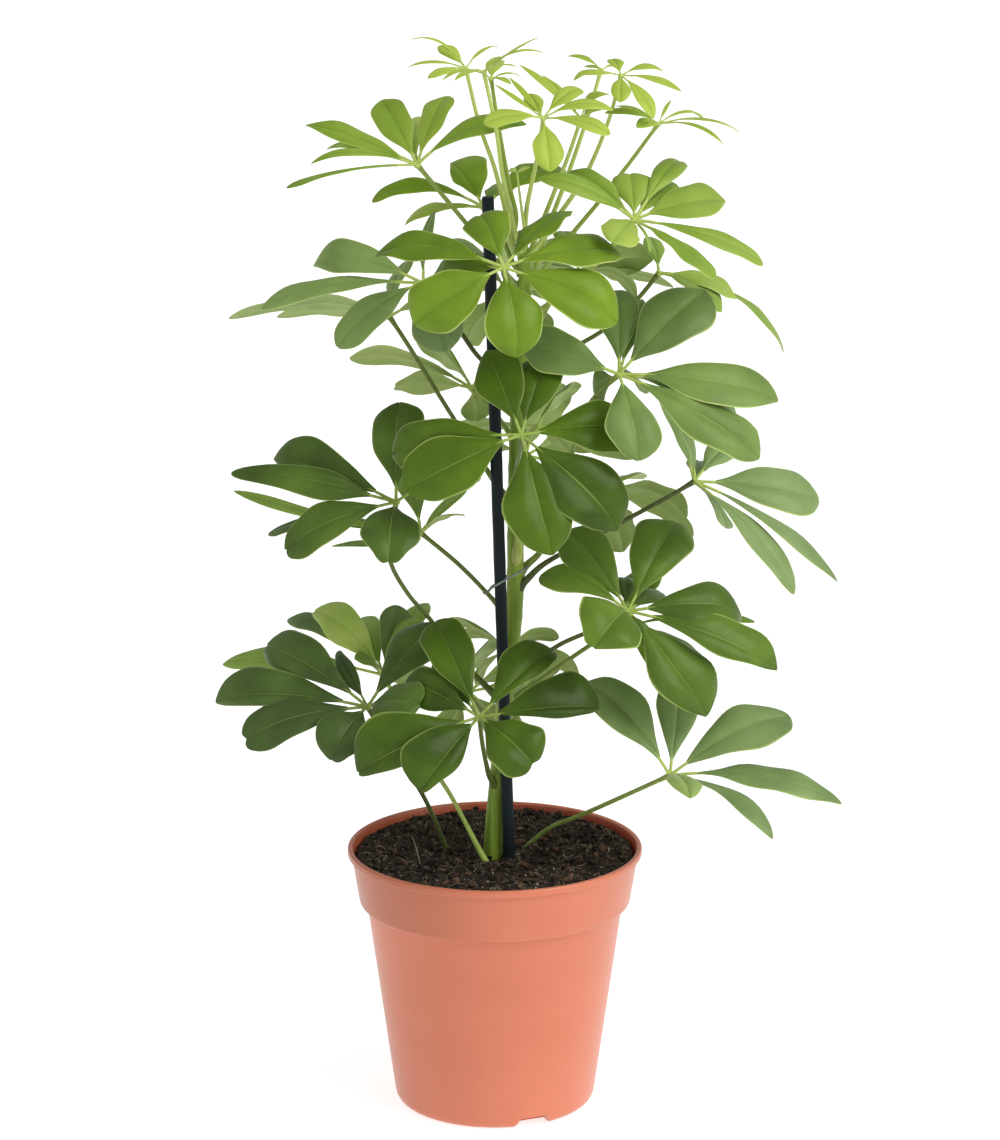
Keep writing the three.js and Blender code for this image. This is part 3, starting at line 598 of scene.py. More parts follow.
# Wire tie: thin plastic-covered wire, looped once round stem and stake, its ends twisted together.
tie_course = [
    (-2.6, 307, 9), (0.6, 309, 15.2), (7, 313, 15.4), (15, 317.5, 8), (19, 320.5, 0), (16, 320.5, -8),
    (9, 316.5, -8.6), (3, 311.5, -5), (-1.6, 308.5, 2),
]
twist_course = [(-2.4, 307, 8.6), (-5.2, 304.6, 9.5), (-6.6, 305, 11)]
tie_radius, strand_radius = 0.65, 0.45
loop = smooth_course([place(*p) for p in tie_course], closed=True, count=141)[:-1]
tie_verts, tie_faces = tube(loop, [tie_radius] * len(loop), 12, closed=True)
twist = smooth_course([place(*p) for p in twist_course], count=40)
for phase in (0, math.pi):
    # Two strands wound round each other
    strand = []
    for k, point in enumerate(twist):
        turn = phase + k * 0.5
        strand.append(point + 0.42 * np.array([0, math.cos(turn), math.sin(turn)]))
    join(tie_verts, tie_faces, *tube(strand, [strand_radius] * len(strand), 10))
tie_cover = grown_material("tie_cover", (0.10, 0.13, 0.105), (0.22, 0.27, 0.23), 300, 0.5, 2500, 0.0001)
tie = piece_from("twisted_tie", tie_verts, tie_faces, tie_cover, 50)
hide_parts("wire_tie")
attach(tie, "root")

# Leaves: each grew as one piece. A round petiole rises from the compost or leaves the stem, and at its end a
# small hub carries a ring of stalked leathery leaflets, held like the ribs of an umbrella. Each row gives a
# leaf's hub, the way its upper side faces, where it springs from, its tone, a painted sheen that greys it where
# the lamp would glance off it, and its leaflets.

# A leaflet is its tip (across, up, and how much nearer than the hub), its width or twice each half width, how
# far it arches, the outlines of its halves, and, where they aren't 0, its turn and a shift of its tone. The
# shift is partly the leaflet's own tone and partly painted light and shade: lighter where it catches the lamp
# or a glare, darker where it lies in shade.
leaves = [
    dict(
        name="leaf_low_left", hub=(-73, 237, 36), face=(-0.2, 0.65, 0.7), soil=(-26, -8),
        via=[(-41, 183, 3), (-60, 213, 20)], tone=0.04, painted_sheen=0.08, leaflets=[
            (-163, 241, -18, [14, 34], 12, "oval/blunt"), (-131, 274, -37, [20, 33], 14, "cut/blunt"),
            (-144, 217, 5, [24, 29], 9, "cut"), (-95, 205, 28, 33, 6, "shouldered/oval"),
            (-43, 240, 30, 31, 5, "cut/blunt", 0, 0.13), (-91, 272, -38, 11, 5, "taper"),
            (-32, 288, -45, 31, 6, "blunt"),
        ],
    ),
    dict(
        name="leaf_low_left_back", hub=(-64, 256, -35), face=(-0.1, 0.85, 0.5), soil=(-7, 14),
        via=[(-25, 183, 3), (-34, 198, -3)], tone=0.62, painted_sheen=0.25, leaflets=[
            (-104, 295, -12, 23, 19, "shouldered/blunt", 15, 0.34), (-157, 264, -20, 19, 8, "oval"),
            (-80, 266, 20, 14, 4, "oval"), (-76, 290, -45, 18, 6, "blunt"),
            (-55, 298, -12, 20, 3, "blunt", 40, -0.45), (-38, 301, -35, 16, 8, "oval"),
            (-41, 289, -5, 19, 8, "blunt"), (-119, 290, -40, 14, 12, "blunt", 0, -0.45),
        ],
    ),
    dict(
        name="leaf_low_front", hub=(-9, 231, 70), face=(0, 0.5, 0.87), stem=(194, -125),
        via=[(-6.5, 211, 36)], tone=0.14, leaflets=[
            (-35, 289, -38, 28, 6, "cut/blunt"), (34, 273, -35, [32, 17], 6, "blunt/cut"),
            (61, 237, -15, [40, 14], 7, "cut/oval", 0, -0.05), (23, 202, 26, 35, 8, "cut"),
            (-43, 186, 32, [19, 42], 8, "shouldered/blunt", 0, -0.1),
            (-80, 197, 10, [22, 43], 13, "shouldered/blunt"), (-51, 254, -28, 25, 6, "blunt"),
            (-36, 265, -52, 12, 4, "oval"),
        ],
    ),
    dict(
        name="leaf_low_back", hub=(6, 270, -40), face=(0, 0.7, -0.7), stem=(254, 95),
        via=[(6, 262, -20)], tone=0.5, leaflets=[
            (-27, 289, -32, 18, 5, "blunt"), (-22, 279, -8, 15, 6, "blunt"), (37, 279, -12, 14, 6, "blunt"),
            (49, 256, -2, 15, 7, "blunt"), (-12, 251, 12, 18, 4, "blunt"), (20, 250, 14, 18, 4, "blunt"),
        ],
    ),
    dict(
        name="leaf_low_right", hub=(76, 294, 40), face=(0.1, 0.6, 0.78), stem=(256, -8),
        via=[(37, 274, 14), (54, 282, 26)], tone=0.27, painted_sheen=0.06, stalk_tone=0.08, leaflets=[
            (25, 315, -22, 21, 8, "blunt", -20, 0.09), (41, 342, -40, 29, 6, "blunt"),
            (103, 347, -42, [38, 32], 8, "blunt/cut"), (144, 293, -22, 33, 10, "blunt/oval"),
            (162, 259, -4, [32, 20], 12, "blunt/pointed"), (123, 231, 16, [44, 32], 8, "blunt/pointed"),
            (57, 272, 40, 43, 9, "pointed/shouldered", 0, 0.14), (88, 272, 8, 10, 4, "oval"),
            (95, 305, -48, 13, 4, "oval"), (73, 316, -55, 12, 3, "oval"),
        ],
    ),
    dict(
        name="leaf_low_right_back", hub=(72, 284, -28), face=(0.1, 0.85, 0.2), stem=(240, 25),
        via=[(30, 256, -9), (55, 274, -18)], tone=0.4, leaflets=[
            (149, 289, -12, 14, 6, "blunt"), (124, 262, -30, 22, 6, "blunt"), (90, 322, -42, 22, 4, "blunt"),
            (58, 276, -55, 22, 6, "blunt"), (96, 252, 8, 20, 5, "blunt"),
        ],
    ),
    dict(
        name="leaf_far_low_right", hub=(101, 196, 42), face=(0.1, 0.75, 0.6), soil=(14, -17),
        via=[(30, 163, -11), (50, 172, 2), (80, 186, 25)], tone=0.42, painted_sheen=0.4, leaflets=[
            (48, 253, -28, 28, 10, "oval"), (105, 254, -40, 24, 5, "blunt"),
            (170, 233, -20, 33, 9, "oval/blunt"), (201, 180, 0, 26, 10, "oval", -15),
            (163, 159, 28, 21, 9, "blunt", -25), (113, 184, 58, 20, 4, "oval", 0, 0.3),
        ],
    ),
    dict(
        name="leaf_left", hub=(-56, 358, 42), face=(-0.1, 0.6, 0.78), stem=(243, 178),
        via=[(-22, 268, -8), (-36, 288, -4), (-50, 305, 10), (-60, 326, 24)], tone=0.15, painted_sheen=0.05,
        leaflets=[
            (-54, 417, -35, 31, 4, "blunt"), (-128, 385, -34, [20, 33], 10, "pointed/blunt"),
            (-150, 376, -2, [20, 18], 6, "taper"), (-121, 330, 12, [24, 25], 9, "cut/oval"),
            (-60, 323, 44, 35, 6, "shouldered", 0, 0.07), (-11, 381, -42, 26, 6, "blunt"),
        ],
    ),
    dict(
        name="leaf_left_back", hub=(-42, 340, -30), face=(0, 0.98, -0.1), stem=(291, 150),
        via=[(-3, 303, -13), (-20, 321, -22)], tone=0.4, painted_sheen=0.2, stalk_tone=0.22, leaflets=[
            (-16, 365, -20, 15, 3, "lance", 0, 0.25), (-17, 351, 12, 12, 3, "lance", 0, 0.25),
            (-130, 343, -22, 18, 5, "blunt", 10, -0.25), (-147, 366, 2, 10, -3, "blunt", 25, 0.2),
            (-92, 334, 16, 14, -3, "oval", 0, 0.2), (-52, 388, -40, 20, 4, "blunt"),
        ],
    ),
    dict(
        name="leaf_mid_left_back", hub=(-59, 465, -24), face=(0.1, 0.55, -0.8), stem=(360, 170),
        via=[(-24, 408, -12), (-50, 451, -14)], tone=0.5, painted_sheen=0.3, stalk_tone=0.2, leaflets=[
            (-150, 466, -8, 10, 8, "blunt"), (-122, 465, -34, 16, 6, "taper"), (-112, 471, 16, 16, 7, "oval"),
            (-14, 478, -28, 22, 5, "blunt"), (-46, 500, -52, 20, 4, "blunt"),
        ],
    ),
    dict(
        name="leaf_mid_left", hub=(-13, 424, -32), face=(0, 0.6, -0.8), stem=(396, 140),
        via=[(0, 410, -18)], tone=0.5, leaflets=[
            (-82, 443, -12, 20, 9, "blunt"), (-57, 426, 4, 25, 4, "shouldered"),
            (-45, 455, -34, 29, 5, "blunt"), (-10, 405, 10, 18, 2, "oval"), (18, 448, -35, 20, 4, "oval"),
        ],
    ),
    dict(
        name="leaf_high_left", hub=(-40, 484, 10), face=(-0.2, 0.85, 0.45), stem=(425, 183),
        via=[(-9, 442, 2), (-19, 456, 3)], tone=0.46, painted_sheen=0.35, stalk_tone=0.02, leaflets=[
            (-89, 447.5, 30, 21, 10, "blunt", 15), (-132, 471, 4, 18, 7, "blunt", -8),
            (-102, 494, -25, [19, 27], 14, "pointed/blunt", 15), (-34, 525, -32, 13, 3, "oval", -30),
            (-27, 446, 44, 31, 4, "oval/blunt", 0, -0.22), (0, 500, -38, 22, 5, "oval"),
        ],
    ),
    dict(
        name="leaf_centre_low", hub=(15, 397, 70), face=(0, 0.55, 0.83), stem=(378, -85),
        via=[(14, 386, 38)], tone=0.24, leaflets=[
            (-61, 386, -18, 28, 10, "blunt"), (-51, 365, 4, 36, 8, "oval/blunt"),
            (33, 327, 30, 39, 6, "oval", 0, -0.04), (72, 341, 12, 41, 8, "blunt/pointed", 0, -0.11),
            (79, 400, -20, 34, 7, "cut"), (29, 443, -38, 28, 6, "oval"),
            (-5, 446, -38, 29, 6, "pointed/oval"),
        ],
    ),
    dict(
        name="leaf_centre_back", hub=(24, 402, -38), face=(0, 0.6, -0.8), stem=(386, 80),
        via=[(19, 397, -22)], tone=0.5, leaflets=[
            (46, 424, -42, 24, 4, "blunt"), (80, 384, -12, 24, 6, "oval"), (44, 384, 10, 14, 3, "oval"),
            (-36, 392, -18, 22, 6, "blunt"),
        ],
    ),
    dict(
        name="leaf_mid_right_back", hub=(60, 362, -38), face=(0.1, 0.7, -0.65), stem=(338, 40),
        via=[(34, 349, -22)], tone=0.55, leaflets=[
            (110, 350, -22, 22, 12, "blunt"), (113, 338, 0, 18, 9, "blunt"), (74, 329, 14, 33, 3, "oval"),
            (34, 385, -35, 20, 4, "blunt"), (84, 372, -62, 18, 5, "oval"),
        ],
    ),
    dict(
        name="leaf_centre_high", hub=(5, 493, 75), face=(0.05, 0.55, 0.83), stem=(470, -88),
        via=[(12, 480, 42)], tone=0.42, leaflets=[
            (-69, 501, -26, 24, 9, "pointed/blunt", -28), (-9, 524, -27, 27, 5, "cut"),
            (43, 527, -42, 24, 4, "pointed", -35), (74, 501, -24, 31, 9, "blunt/pointed", -20),
            (70, 462, 6, 34, 8, "blunt/oval"), (13, 441, 24, 34, 8, "oval"),
            (-46, 460, 6, 34, 8, "oval/blunt", 0, 0.12), (-32, 490, -28, 22, 4, "oval"),
        ],
    ),
    dict(
        name="leaf_high_back_right", hub=(47, 491, -25), face=(0.1, 0.85, -0.4), stem=(452, 30),
        via=[(32, 474, -16)], tone=0.5, leaflets=[
            (89, 498, -12, 26, 6, "pointed/oval", -40), (100, 482, -32, 14, 4, "oval"),
            (81, 475, 0, 17, 8, "oval"), (38, 514, -36, 20, 4, "oval"), (22, 486, -48, 20, 5, "oval"),
        ],
    ),
    dict(
        name="leaf_right", hub=(70, 432, 50), face=(0.1, 0.6, 0.78), stem=(317, 35),
        via=[(26, 329, -5), (40, 372, 14), (53, 414, 34)], tone=0.4, painted_sheen=0.25, leaflets=[
            (15, 450, -8, 28, 3, "oval/blunt", 0, -0.05), (69, 482, -42, 24, 4, "blunt", 0, -0.12),
            (118, 480, -32, 36, 7, "oval/blunt", 0, -0.1), (162, 418, -12, 31, 10, "blunt/pointed"),
            (140, 411, -36, 20, 8, "oval"), (152, 384, 12, 30, 10, "blunt/oval"),
            (82, 382, 34, 31, 6, "blunt/oval"), (56, 418, -24, 22, 3, "oval"), (83, 424, -50, 20, 3, "oval"),
            (83, 477, -45, 12, 3, "oval"),
        ],
    ),
    dict(
        name="leaf_far_right", hub=(113, 370, -5), face=(0.15, 0.85, 0.45), stem=(311, -22),
        via=[(27, 321, 3), (57, 338, 2), (100, 362, -3)], tone=0.45, painted_sheen=0.5, stalk_tone=0.02, leaflets=[
            (93, 422, -22, 15, 3, "oval", -30), (104, 412, 12, 14, 3, "oval", -20),
            (143, 404, -42, 26, 4, "blunt"), (184.5, 359.5, -20, 31, 7, "blunt", 25),
            (196, 312, 6, 18, 8, "blunt/oval", -10), (171, 304, 26, 21, 8, "blunt/oval"),
            (132, 343, 48, 14, 3, "club", -20), (116, 382, -45, 14, 3, "oval"),
        ],
    ),
    dict(
        name="leaf_far_right_high", hub=(92, 490, -22), face=(0.2, 0.85, 0.3), stem=(432, 5),
        via=[(62, 458, -16), (80, 475, -20)], tone=0.65, painted_sheen=0.2, stalk_tone=0.2, leaflets=[
            (129, 469, 14, 24, 5, "blunt/oval"), (136, 476, 4, 16, 5, "oval", 12, 0.2),
            (164, 446, -8, 16, 12, "club"), (86, 511, -30, 12, 3, "oval"), (122, 475, -24, 13, 4, "oval"),
        ],
    ),
    dict(
        name="leaf_upper_right", hub=(78, 520, 25), face=(0.15, 0.75, 0.6), stem=(464, -22),
        via=[(50, 488, 15)], tone=0.65, painted_sheen=0.1, leaflets=[
            (75, 547, -24, 23, 3, "cut"), (129, 531, -22, 30, 6, "blunt/pointed"),
            (100, 542, -40, 20, 4, "oval"), (152, 496, -5, 15, 7, "blunt"),
            (124, 488, 22, 20, 3, "blunt", -20), (66, 508, 44, 22, 3, "blunt", 0, 0.25),
            (41, 549, -22, 17, 5, "oval"), (24, 544, 8, 13, 6, "oval"), (87, 502, 22, 10, 2, "oval", -60),
            (106, 551, -60, 16, 15, "pointed", 0, 0.1),
        ],
    ),
    dict(
        name="leaf_top_left", hub=(-43, 551, 10), face=(-0.2, 0.9, 0.3), stem=(482, 182),
        via=[(-7, 507, 3)], tone=0.6, painted_sheen=0.05, stalk_tone=0.4, leaflets=[
            (-105, 575, -22, 16, 2.5, "pointed/oval"), (-103, 554, 6, 8, 6, "oval"),
            (-116, 538.5, 22, 10, 4, "club", -15), (-63, 588.5, -30, 21, 2, "blunt"),
            (-27, 591, -26, 20, 3, "blunt", 0, 0.1), (18, 575, -6, 21, 11, "oval", 12),
            (-46, 579, -55, 15, 3, "blunt", 0, 0.3), (-95, 563, -46, 8, 4, "oval"),
        ],
    ),
    dict(
        name="leaf_top_back", hub=(-6, 527, -16), face=(-0.1, 0.85, 0.35), stem=(492, 160),
        via=[(4, 511, -10)], tone=0.5, leaflets=[
            (-70, 532, -2, 14, 11, "blunt"), (-49, 521, -40, 19, 4, "club", 0, 0.35),
            (-25, 553, -36, [13, 34], 4, "pointed/blunt"), (40, 549, -20, 25, 8, "oval"),
            (10, 540, -50, 18, 4, "oval"),
        ],
    ),
    dict(
        name="leaf_young_front_left", hub=(-16, 605, -5), face=(-0.1, 0.97, 0.05), stem=(503, 195),
        via=[(7, 521, 1), (0, 549, -1), (-8, 572, -3)], young=True, tone=1, leaflets=[
            (-46, 621.5, -8, 4, 6, "lance"), (-31, 617.5, -14, 10, 2, "oval", 12),
            (-48, 606, 4, 7, 3, "lance"), (-37, 599.5, 16, 8, 2, "oval", 15), (2, 617.5, -20, 5, 3, "lance"),
        ],
    ),
    dict(
        name="leaf_young_middle", hub=(-6, 603, 12), face=(0, 0.97, 0.05), stem=(505, -115),
        via=[(9, 524, 9), (4, 548, 18), (1, 570, 23)], young=True, tone=0.95, leaflets=[
            (3, 611.5, -18, 8, 1, "lance"), (24, 622, -8, 5, 1, "lance"), (27, 614, 4, 7, 5, "lance"),
            (12, 606, 16, 6, 2, "lance"), (-29, 598.5, 10, 6, 3, "lance"), (-22, 598.5, 20, 6, 2, "lance"),
        ],
    ),
    dict(
        name="leaf_young_back", hub=(-2, 599, -20), face=(0, 0.95, 0.1), stem=(507, 140),
        via=[(12, 522, -5), (8, 540, -3), (4, 562, -10)], young=True, tone=0.95, stalk_tone=0.45, leaflets=[
            (14, 601, -10, 5, 2, "lance"), (9, 596, 8, 7, 2, "oval"), (-1, 609, -22, 7, 1, "lance"),
            (5, 609.5, -28, 6, 2, "lance"), (-14, 603.5, -22, 5, 2, "lance"),
        ],
    ),
    dict(
        name="leaf_young_front", hub=(27, 577, 30), face=(0.1, 0.85, 0.5), stem=(508, -80),
        via=[(18, 527, 10), (23, 552, 20)], young=True, tone=0.9, leaflets=[
            (31, 547, 16, 18, 3, "oval"), (64.5, 568.5, 12, 13, 4, "blunt"), (-6, 574, 12, 13, 4, "blunt"),
            (0, 596, -14, 3.5, 0.5, "lance"), (18, 591, -22, 10, 1, "oval", 10),
            (48.5, 593.5, -20, 12, 6, "oval"), (66, 582, -4, 10, 7, "oval"), (8, 600, -20, 4, 0.5, "lance"),
        ],
    ),
    dict(
        name="leaf_young_high_back", hub=(48, 577, -14), face=(0.1, 0.9, 0.2), stem=(497, 60),
        via=[(31, 530, -12), (41, 556, -14)], young=True, tone=0.95, leaflets=[
            (69, 581.5, -4, 4, 3, "lance"), (14, 607.5, -20, 7, 1, "lance"), (64, 590, -8, 9, 7, "oval"),
            (26.5, 601, -22, 7, 1, "lance"), (60, 586, -30, 7, 2, "lance"),
        ],
    ),
    dict(
        name="leaf_young_right_back", hub=(59, 604, -38), face=(0, 0.95, 0.2), stem=(488, 30),
        via=[(30, 516, -14), (40, 543, -22), (51, 576, -34)], young=True, tone=0.95, leaflets=[
            (40.5, 611.5, -6, 6, 3, "lance"), (43.5, 598, 8, 6, 2, "lance"), (49.5, 606, -14, 5, 1, "lance"),
            (70, 605, -10, 5, 2, "lance"),
        ],
    ),
    dict(
        name="leaf_young_right", hub=(70, 601, 6), face=(0.1, 0.9, 0.35), stem=(500, -20),
        via=[(34, 520, -3), (50, 544, -13), (63, 575, -3)], young=True, tone=0.9, leaflets=[
            (64, 610, -16, 9, 2, "oval"), (93.5, 603.5, -12, 8, 4, "oval"), (103.5, 592, 6, 9, 3, "oval"),
            (69.5, 586, 16, 11.5, 2, "oval"), (88.5, 577, 16, 11.5, 3, "oval"), (46, 601, 4, 5, 2, "lance"),
        ],
    ),
    dict(
        name="leaf_young_far_right", hub=(91, 574, 0), face=(0.1, 0.95, 0.25), stem=(484, -30),
        via=[(44, 513, -2), (58, 530, -9), (72, 548, -12)], young=True, tone=0.85, stalk_tone=0.58,
        leaflets=[
            (136, 570, -6, 8, 5, "lance", -10), (127, 563, 18, 8, 5, "lance", -10),
            (114.5, 578, -24, 9, 5, "club"), (98, 587.5, -28, 2.5, 1, "lance"),
            (67, 584.5, -30, 6, 2, "lance"), (61, 580, 6, 9, 4, "oval"), (79, 572, 22, 9, 3, "oval", 10),
        ],
    ),
    dict(
        name="leaf_back_high", hub=(8, 478, -104), face=(0, 0.6, -0.8), stem=(440, 92),
        via=[(14, 460, -58)], tone=0.3, leaflets=[
            (-32, 504, -22, 26, 8, "blunt"), (-44, 476, -2, 28, 8, "blunt"), (12, 514, -40, 26, 6, "blunt"),
            (50, 507, -20, 26, 7, "blunt"), (60, 474, -4, 28, 8, "blunt"), (26, 448, 8, 26, 6, "blunt"),
            (-16, 450, 4, 26, 6, "blunt"),
        ],
    ),
    dict(
        name="leaf_back_middle", hub=(18, 385, -112), face=(0, 0.6, -0.8), stem=(350, 100),
        via=[(14, 368, -60)], tone=0.3, leaflets=[
            (-40, 390, -14, 28, 8, "blunt"), (4, 430, -42, 26, 6, "blunt"), (42, 424, -30, 28, 7, "blunt"),
            (66, 394, -8, 28, 8, "blunt"), (58, 362, 6, 28, 7, "blunt"), (18, 340, 4, 28, 6, "blunt"),
        ],
    ),
    dict(
        name="leaf_back_low", hub=(-15, 246, -100), face=(0, 0.6, -0.8), stem=(216, 105),
        via=[(-5, 230, -54)], tone=0.3, leaflets=[
            (-62, 256, -12, 26, 8, "blunt"), (-38, 276, -32, 26, 6, "blunt"), (0, 274, -36, 26, 6, "blunt"),
            (38, 262, -20, 28, 8, "blunt"), (46, 240, -2, 28, 8, "blunt"), (12, 208, 8, 28, 6, "blunt"),
            (-34, 204, 6, 28, 6, "blunt"),
        ],
    ),
]
# The stalk's share of a leaflet's length, and where the blade begins on it
stalk_share = 0.155
blade_from = stalk_share * 0.86

# Half a leaflet's outline, from its foot to its tip: share of the length, and of the half width
outlines = {
    "oval": [
        (0, 0.07), (0.1, 0.27), (0.25, 0.66), (0.4, 0.92), (0.53, 1), (0.66, 0.97), (0.78, 0.83),
        (0.88, 0.6), (0.95, 0.37), (1, 0.06)
    ],
    "pointed": [
        (0, 0.07), (0.1, 0.27), (0.25, 0.68), (0.38, 0.93), (0.5, 1), (0.62, 0.94), (0.75, 0.72),
        (0.87, 0.42), (0.95, 0.18), (1, 0.03)
    ],
    "blunt": [
        (0, 0.07), (0.1, 0.24), (0.25, 0.58), (0.4, 0.84), (0.55, 0.97), (0.67, 1), (0.79, 0.95),
        (0.89, 0.78), (0.96, 0.52), (1, 0.1)
    ],
    "cut": [
        (0, 0.07), (0.1, 0.21), (0.25, 0.52), (0.4, 0.78), (0.55, 0.94), (0.7, 1), (0.82, 0.96),
        (0.91, 0.82), (0.97, 0.64), (1, 0.4)
    ],
    "shouldered": [
        (0, 0.07), (0.1, 0.28), (0.25, 0.68), (0.4, 0.95), (0.52, 1), (0.64, 0.95), (0.74, 0.78),
        (0.83, 0.58), (0.91, 0.46), (0.97, 0.37), (1, 0.2)
    ],
    "taper": [
        (0, 0.07), (0.1, 0.35), (0.22, 0.8), (0.35, 1), (0.5, 0.94), (0.65, 0.72), (0.8, 0.52), (0.9, 0.42),
        (0.97, 0.3), (1, 0.08)
    ],
    "lance": [
        (0, 0.1), (0.15, 0.48), (0.32, 0.88), (0.48, 1), (0.64, 0.92), (0.8, 0.66), (0.92, 0.34), (1, 0.05)
    ],
    "club": [
        (0, 0.1), (0.2, 0.32), (0.4, 0.5), (0.6, 0.68), (0.75, 0.88), (0.86, 1), (0.94, 0.8), (0.98, 0.5),
        (1, 0.12)
    ],
}
notches = {"cut": 0.03, "shouldered": 0.025, "blunt": 0.012}


def sheet_width(shape, share):
    """Half width of a named outline at a share of its length, its corners eased."""
    reach = min(share, 1 - share, 0.05)
    nearby = [min(1, max(0, share + step * reach)) for step in (-1, -0.5, 0, 0.5, 1)]
    return float(np.mean(np.interp(nearby, *zip(*outlines[shape]))))


blade_stations = [
    0, 0.025, 0.06, 0.1, 0.15, 0.2, 0.26, 0.32, 0.38, 0.44, 0.5, 0.56, 0.62, 0.68, 0.74, 0.79, 0.84, 0.88,
    0.915, 0.945, 0.968, 0.985, 0.996, 1,
]
blade_lines = [-1, -0.94, -0.8, -0.62, -0.42, -0.22, -0.07, 0, 0.07, 0.22, 0.42, 0.62, 0.8, 0.94, 1]
to_viewer = np.array([0, -1, 0.25]) / math.hypot(1, 0.25)
upper_slot, under_slot, stalk_slot = 0, 1, 2


class LeafForm:
    """Collects the sheets and rods of one leaf, with its blade map and its tone."""

    def __init__(self):
        self.verts, self.faces, self.slots, self.map, self.tones = [], [], [], [], []

    def add(self, verts, faces, slots, spots, tone):
        start = len(self.verts)
        self.verts += [tuple(v / 1e3 for v in vert) for vert in verts]
        self.faces += [tuple(i + start for i in face) for face in faces]
        self.slots += slots
        self.map += spots
        self.tones += [tone] * len(verts)

    def rod(self, points, radii, sides, slot, tone):
        verts, faces = tube(points, radii, sides)
        spots = [(k % sides / sides, k // sides / len(points)) for k in range(len(verts))]
        self.add(verts, faces, [slot] * len(faces), spots, tone)


def unit(vector):
    return vector / np.linalg.norm(vector)


def add_leaflet(form, leaf, row, tone, luck):
    """Adds one leaflet with its own bend, fold, ripples and stalk."""
    across, up, toward, width, arch, shape, turn, own_tone_and_light = (*row, 0, 0)[:8]
    turn, shapes = math.radians(turn), shape.split("/") * 2
    hub, face = leaf["hub_at"], leaf["face_at"]
    tip = place(across, up, leaf["hub"][2] + toward)
    chord = tip - hub
    along = unit(chord)
    flat = unit(face - along * face.dot(along))
    aside = np.cross(along, flat)
    if aside.dot(to_viewer) < 0:
        aside = -aside
    upper = flat * math.cos(turn) + aside * math.sin(turn)
    elbow = hub + 0.55 * chord + 2 * arch * upper
    young = leaf.get("young", False)
    # A width may be given for each side of the midrib, as twice that side
    halves = [0.5 * wide for wide in (width if isinstance(width, list) else (width, width))]
    half, length = sum(halves) / 2, np.linalg.norm(chord)
    # The shift is partly painted light and shade on this leaflet, partly its own tone
    tone += own_tone_and_light
    roll = math.radians(luck.uniform(5, 9)) * (0.5 if young else 1)
    fold = luck.uniform(0.34, 0.52)
    droop = fold * luck.uniform(0.9, 1.3)
    lopsided = luck.uniform(-0.07, 0.07)
    curl = luck.uniform(0, 0.06) * length * (0.4 if young else 1)
    both_notches = notches.get(shapes[0], 0) + notches.get(shapes[1], 0)
    notch = 0 if young else luck.uniform(0.5, 1.1) * both_notches / 2
    ripple, beat, phase = luck.uniform(0.4, 1.1), luck.uniform(1.3, 2.6), luck.uniform(0, 6.3)
    ripple *= min(1, half / 12) * (0.3 if young else 1)
    swing = luck.uniform(-0.035, 0.035) * length
    thick, uneven = 0.2 if young else 0.3, [luck.uniform(0, 6.3), luck.uniform(0, 6.3)]

    def middle(t):
        return (1 - t) ** 2 * hub + 2 * t * (1 - t) * elbow + t**2 * tip

    def frame_at(t):
        way = unit(2 * (1 - t) * (elbow - hub) + 2 * t * (tip - elbow))
        normal = unit(upper - way * upper.dot(way))
        side = np.cross(way, normal)
        swung = side * math.cos(roll) + normal * math.sin(roll)
        return swung, normal * math.cos(roll) - side * math.sin(roll)

    v = np.array(blade_lines)
    rows = {1: [], -1: []}
    for share in blade_stations:
        # Each edge runs in and out a little on its own
        edges = [1 + 0.05 * math.sin(11 * share + start) * min(1, 4 * (1 - share)) for start in uneven]
        left, right = (
            sheet_width(name, share) * wide * edge for name, wide, edge in zip(shapes, halves, edges))
        half_here = (left + right) / 2
        reach = share - notch * np.exp(-((v / 0.4) ** 2)) * share**10
        t = (blade_from + (1 - blade_from) * reach)[:, None]
        side, normal = frame_at(blade_from + (1 - blade_from) * share)
        sag = half_here * (fold * abs(v) - droop * v * v)
        wave = ripple * np.sin(2 * math.pi * (share * beat + 0.2 * v) + phase) * v * v * min(1, half_here / 6)
        drift = v * np.where(v < 0, left, right) * (1 + lopsided * np.sign(v))
        drift += swing * math.sin(math.pi * share) * 0.6
        dip = curl * max(0, (share - 0.6) / 0.4) ** 2
        spot = middle(t) + drift[:, None] * side + (sag + wave - dip)[:, None] * normal
        sheet = thick * (1 - 0.85 * abs(v) ** 3)
        groove = 0.22 * np.exp(-((v / 0.06) ** 2)) * min(1, half_here / 4)
        rib = (0.35 if young else 0.75) * np.exp(-((v / 0.09) ** 2)) * (1 - 0.8 * share)
        inside = abs(v) < 1
        rows[1] += list(spot + (inside * (sheet - groove))[:, None] * normal)
        rows[-1] += list(spot - (inside * (sheet + rib))[:, None] * normal)
    lines, count = len(blade_lines), len(blade_stations)
    verts = rows[1] + rows[-1]
    under = lines * count
    faces, slots = [], []
    for i in range(count - 1):
        for j in range(lines - 1):
            a, d = i * lines + j, (i + 1) * lines + j
            b, c = a + 1, d + 1
            faces += [(a, b, c, d), (under + a, under + d, under + c, under + b)]
            slots += [upper_slot, under_slot]
        # The edges are closed by a narrow strip, which shares the outermost line of both sheets
        for j, flip in ((0, False), (lines - 1, True)):
            a, d = i * lines + j, (i + 1) * lines + j
            strip = (a, d, under + d, under + a)
            faces.append(tuple(reversed(strip)) if flip else strip)
            slots.append(upper_slot)
    for i, flip in ((0, True), (count - 1, False)):
        for j in range(lines - 1):
            a, b = i * lines + j, i * lines + j + 1
            strip = (a, b, under + b, under + a)
            faces.append(tuple(reversed(strip)) if flip else strip)
            slots.append(upper_slot)
    spots = [((v + 1) / 2, share) for share in blade_stations for v in blade_lines] * 2
    form.add(verts, faces, slots, spots, min(1, max(0, tone + luck.uniform(-0.06, 0.06))))

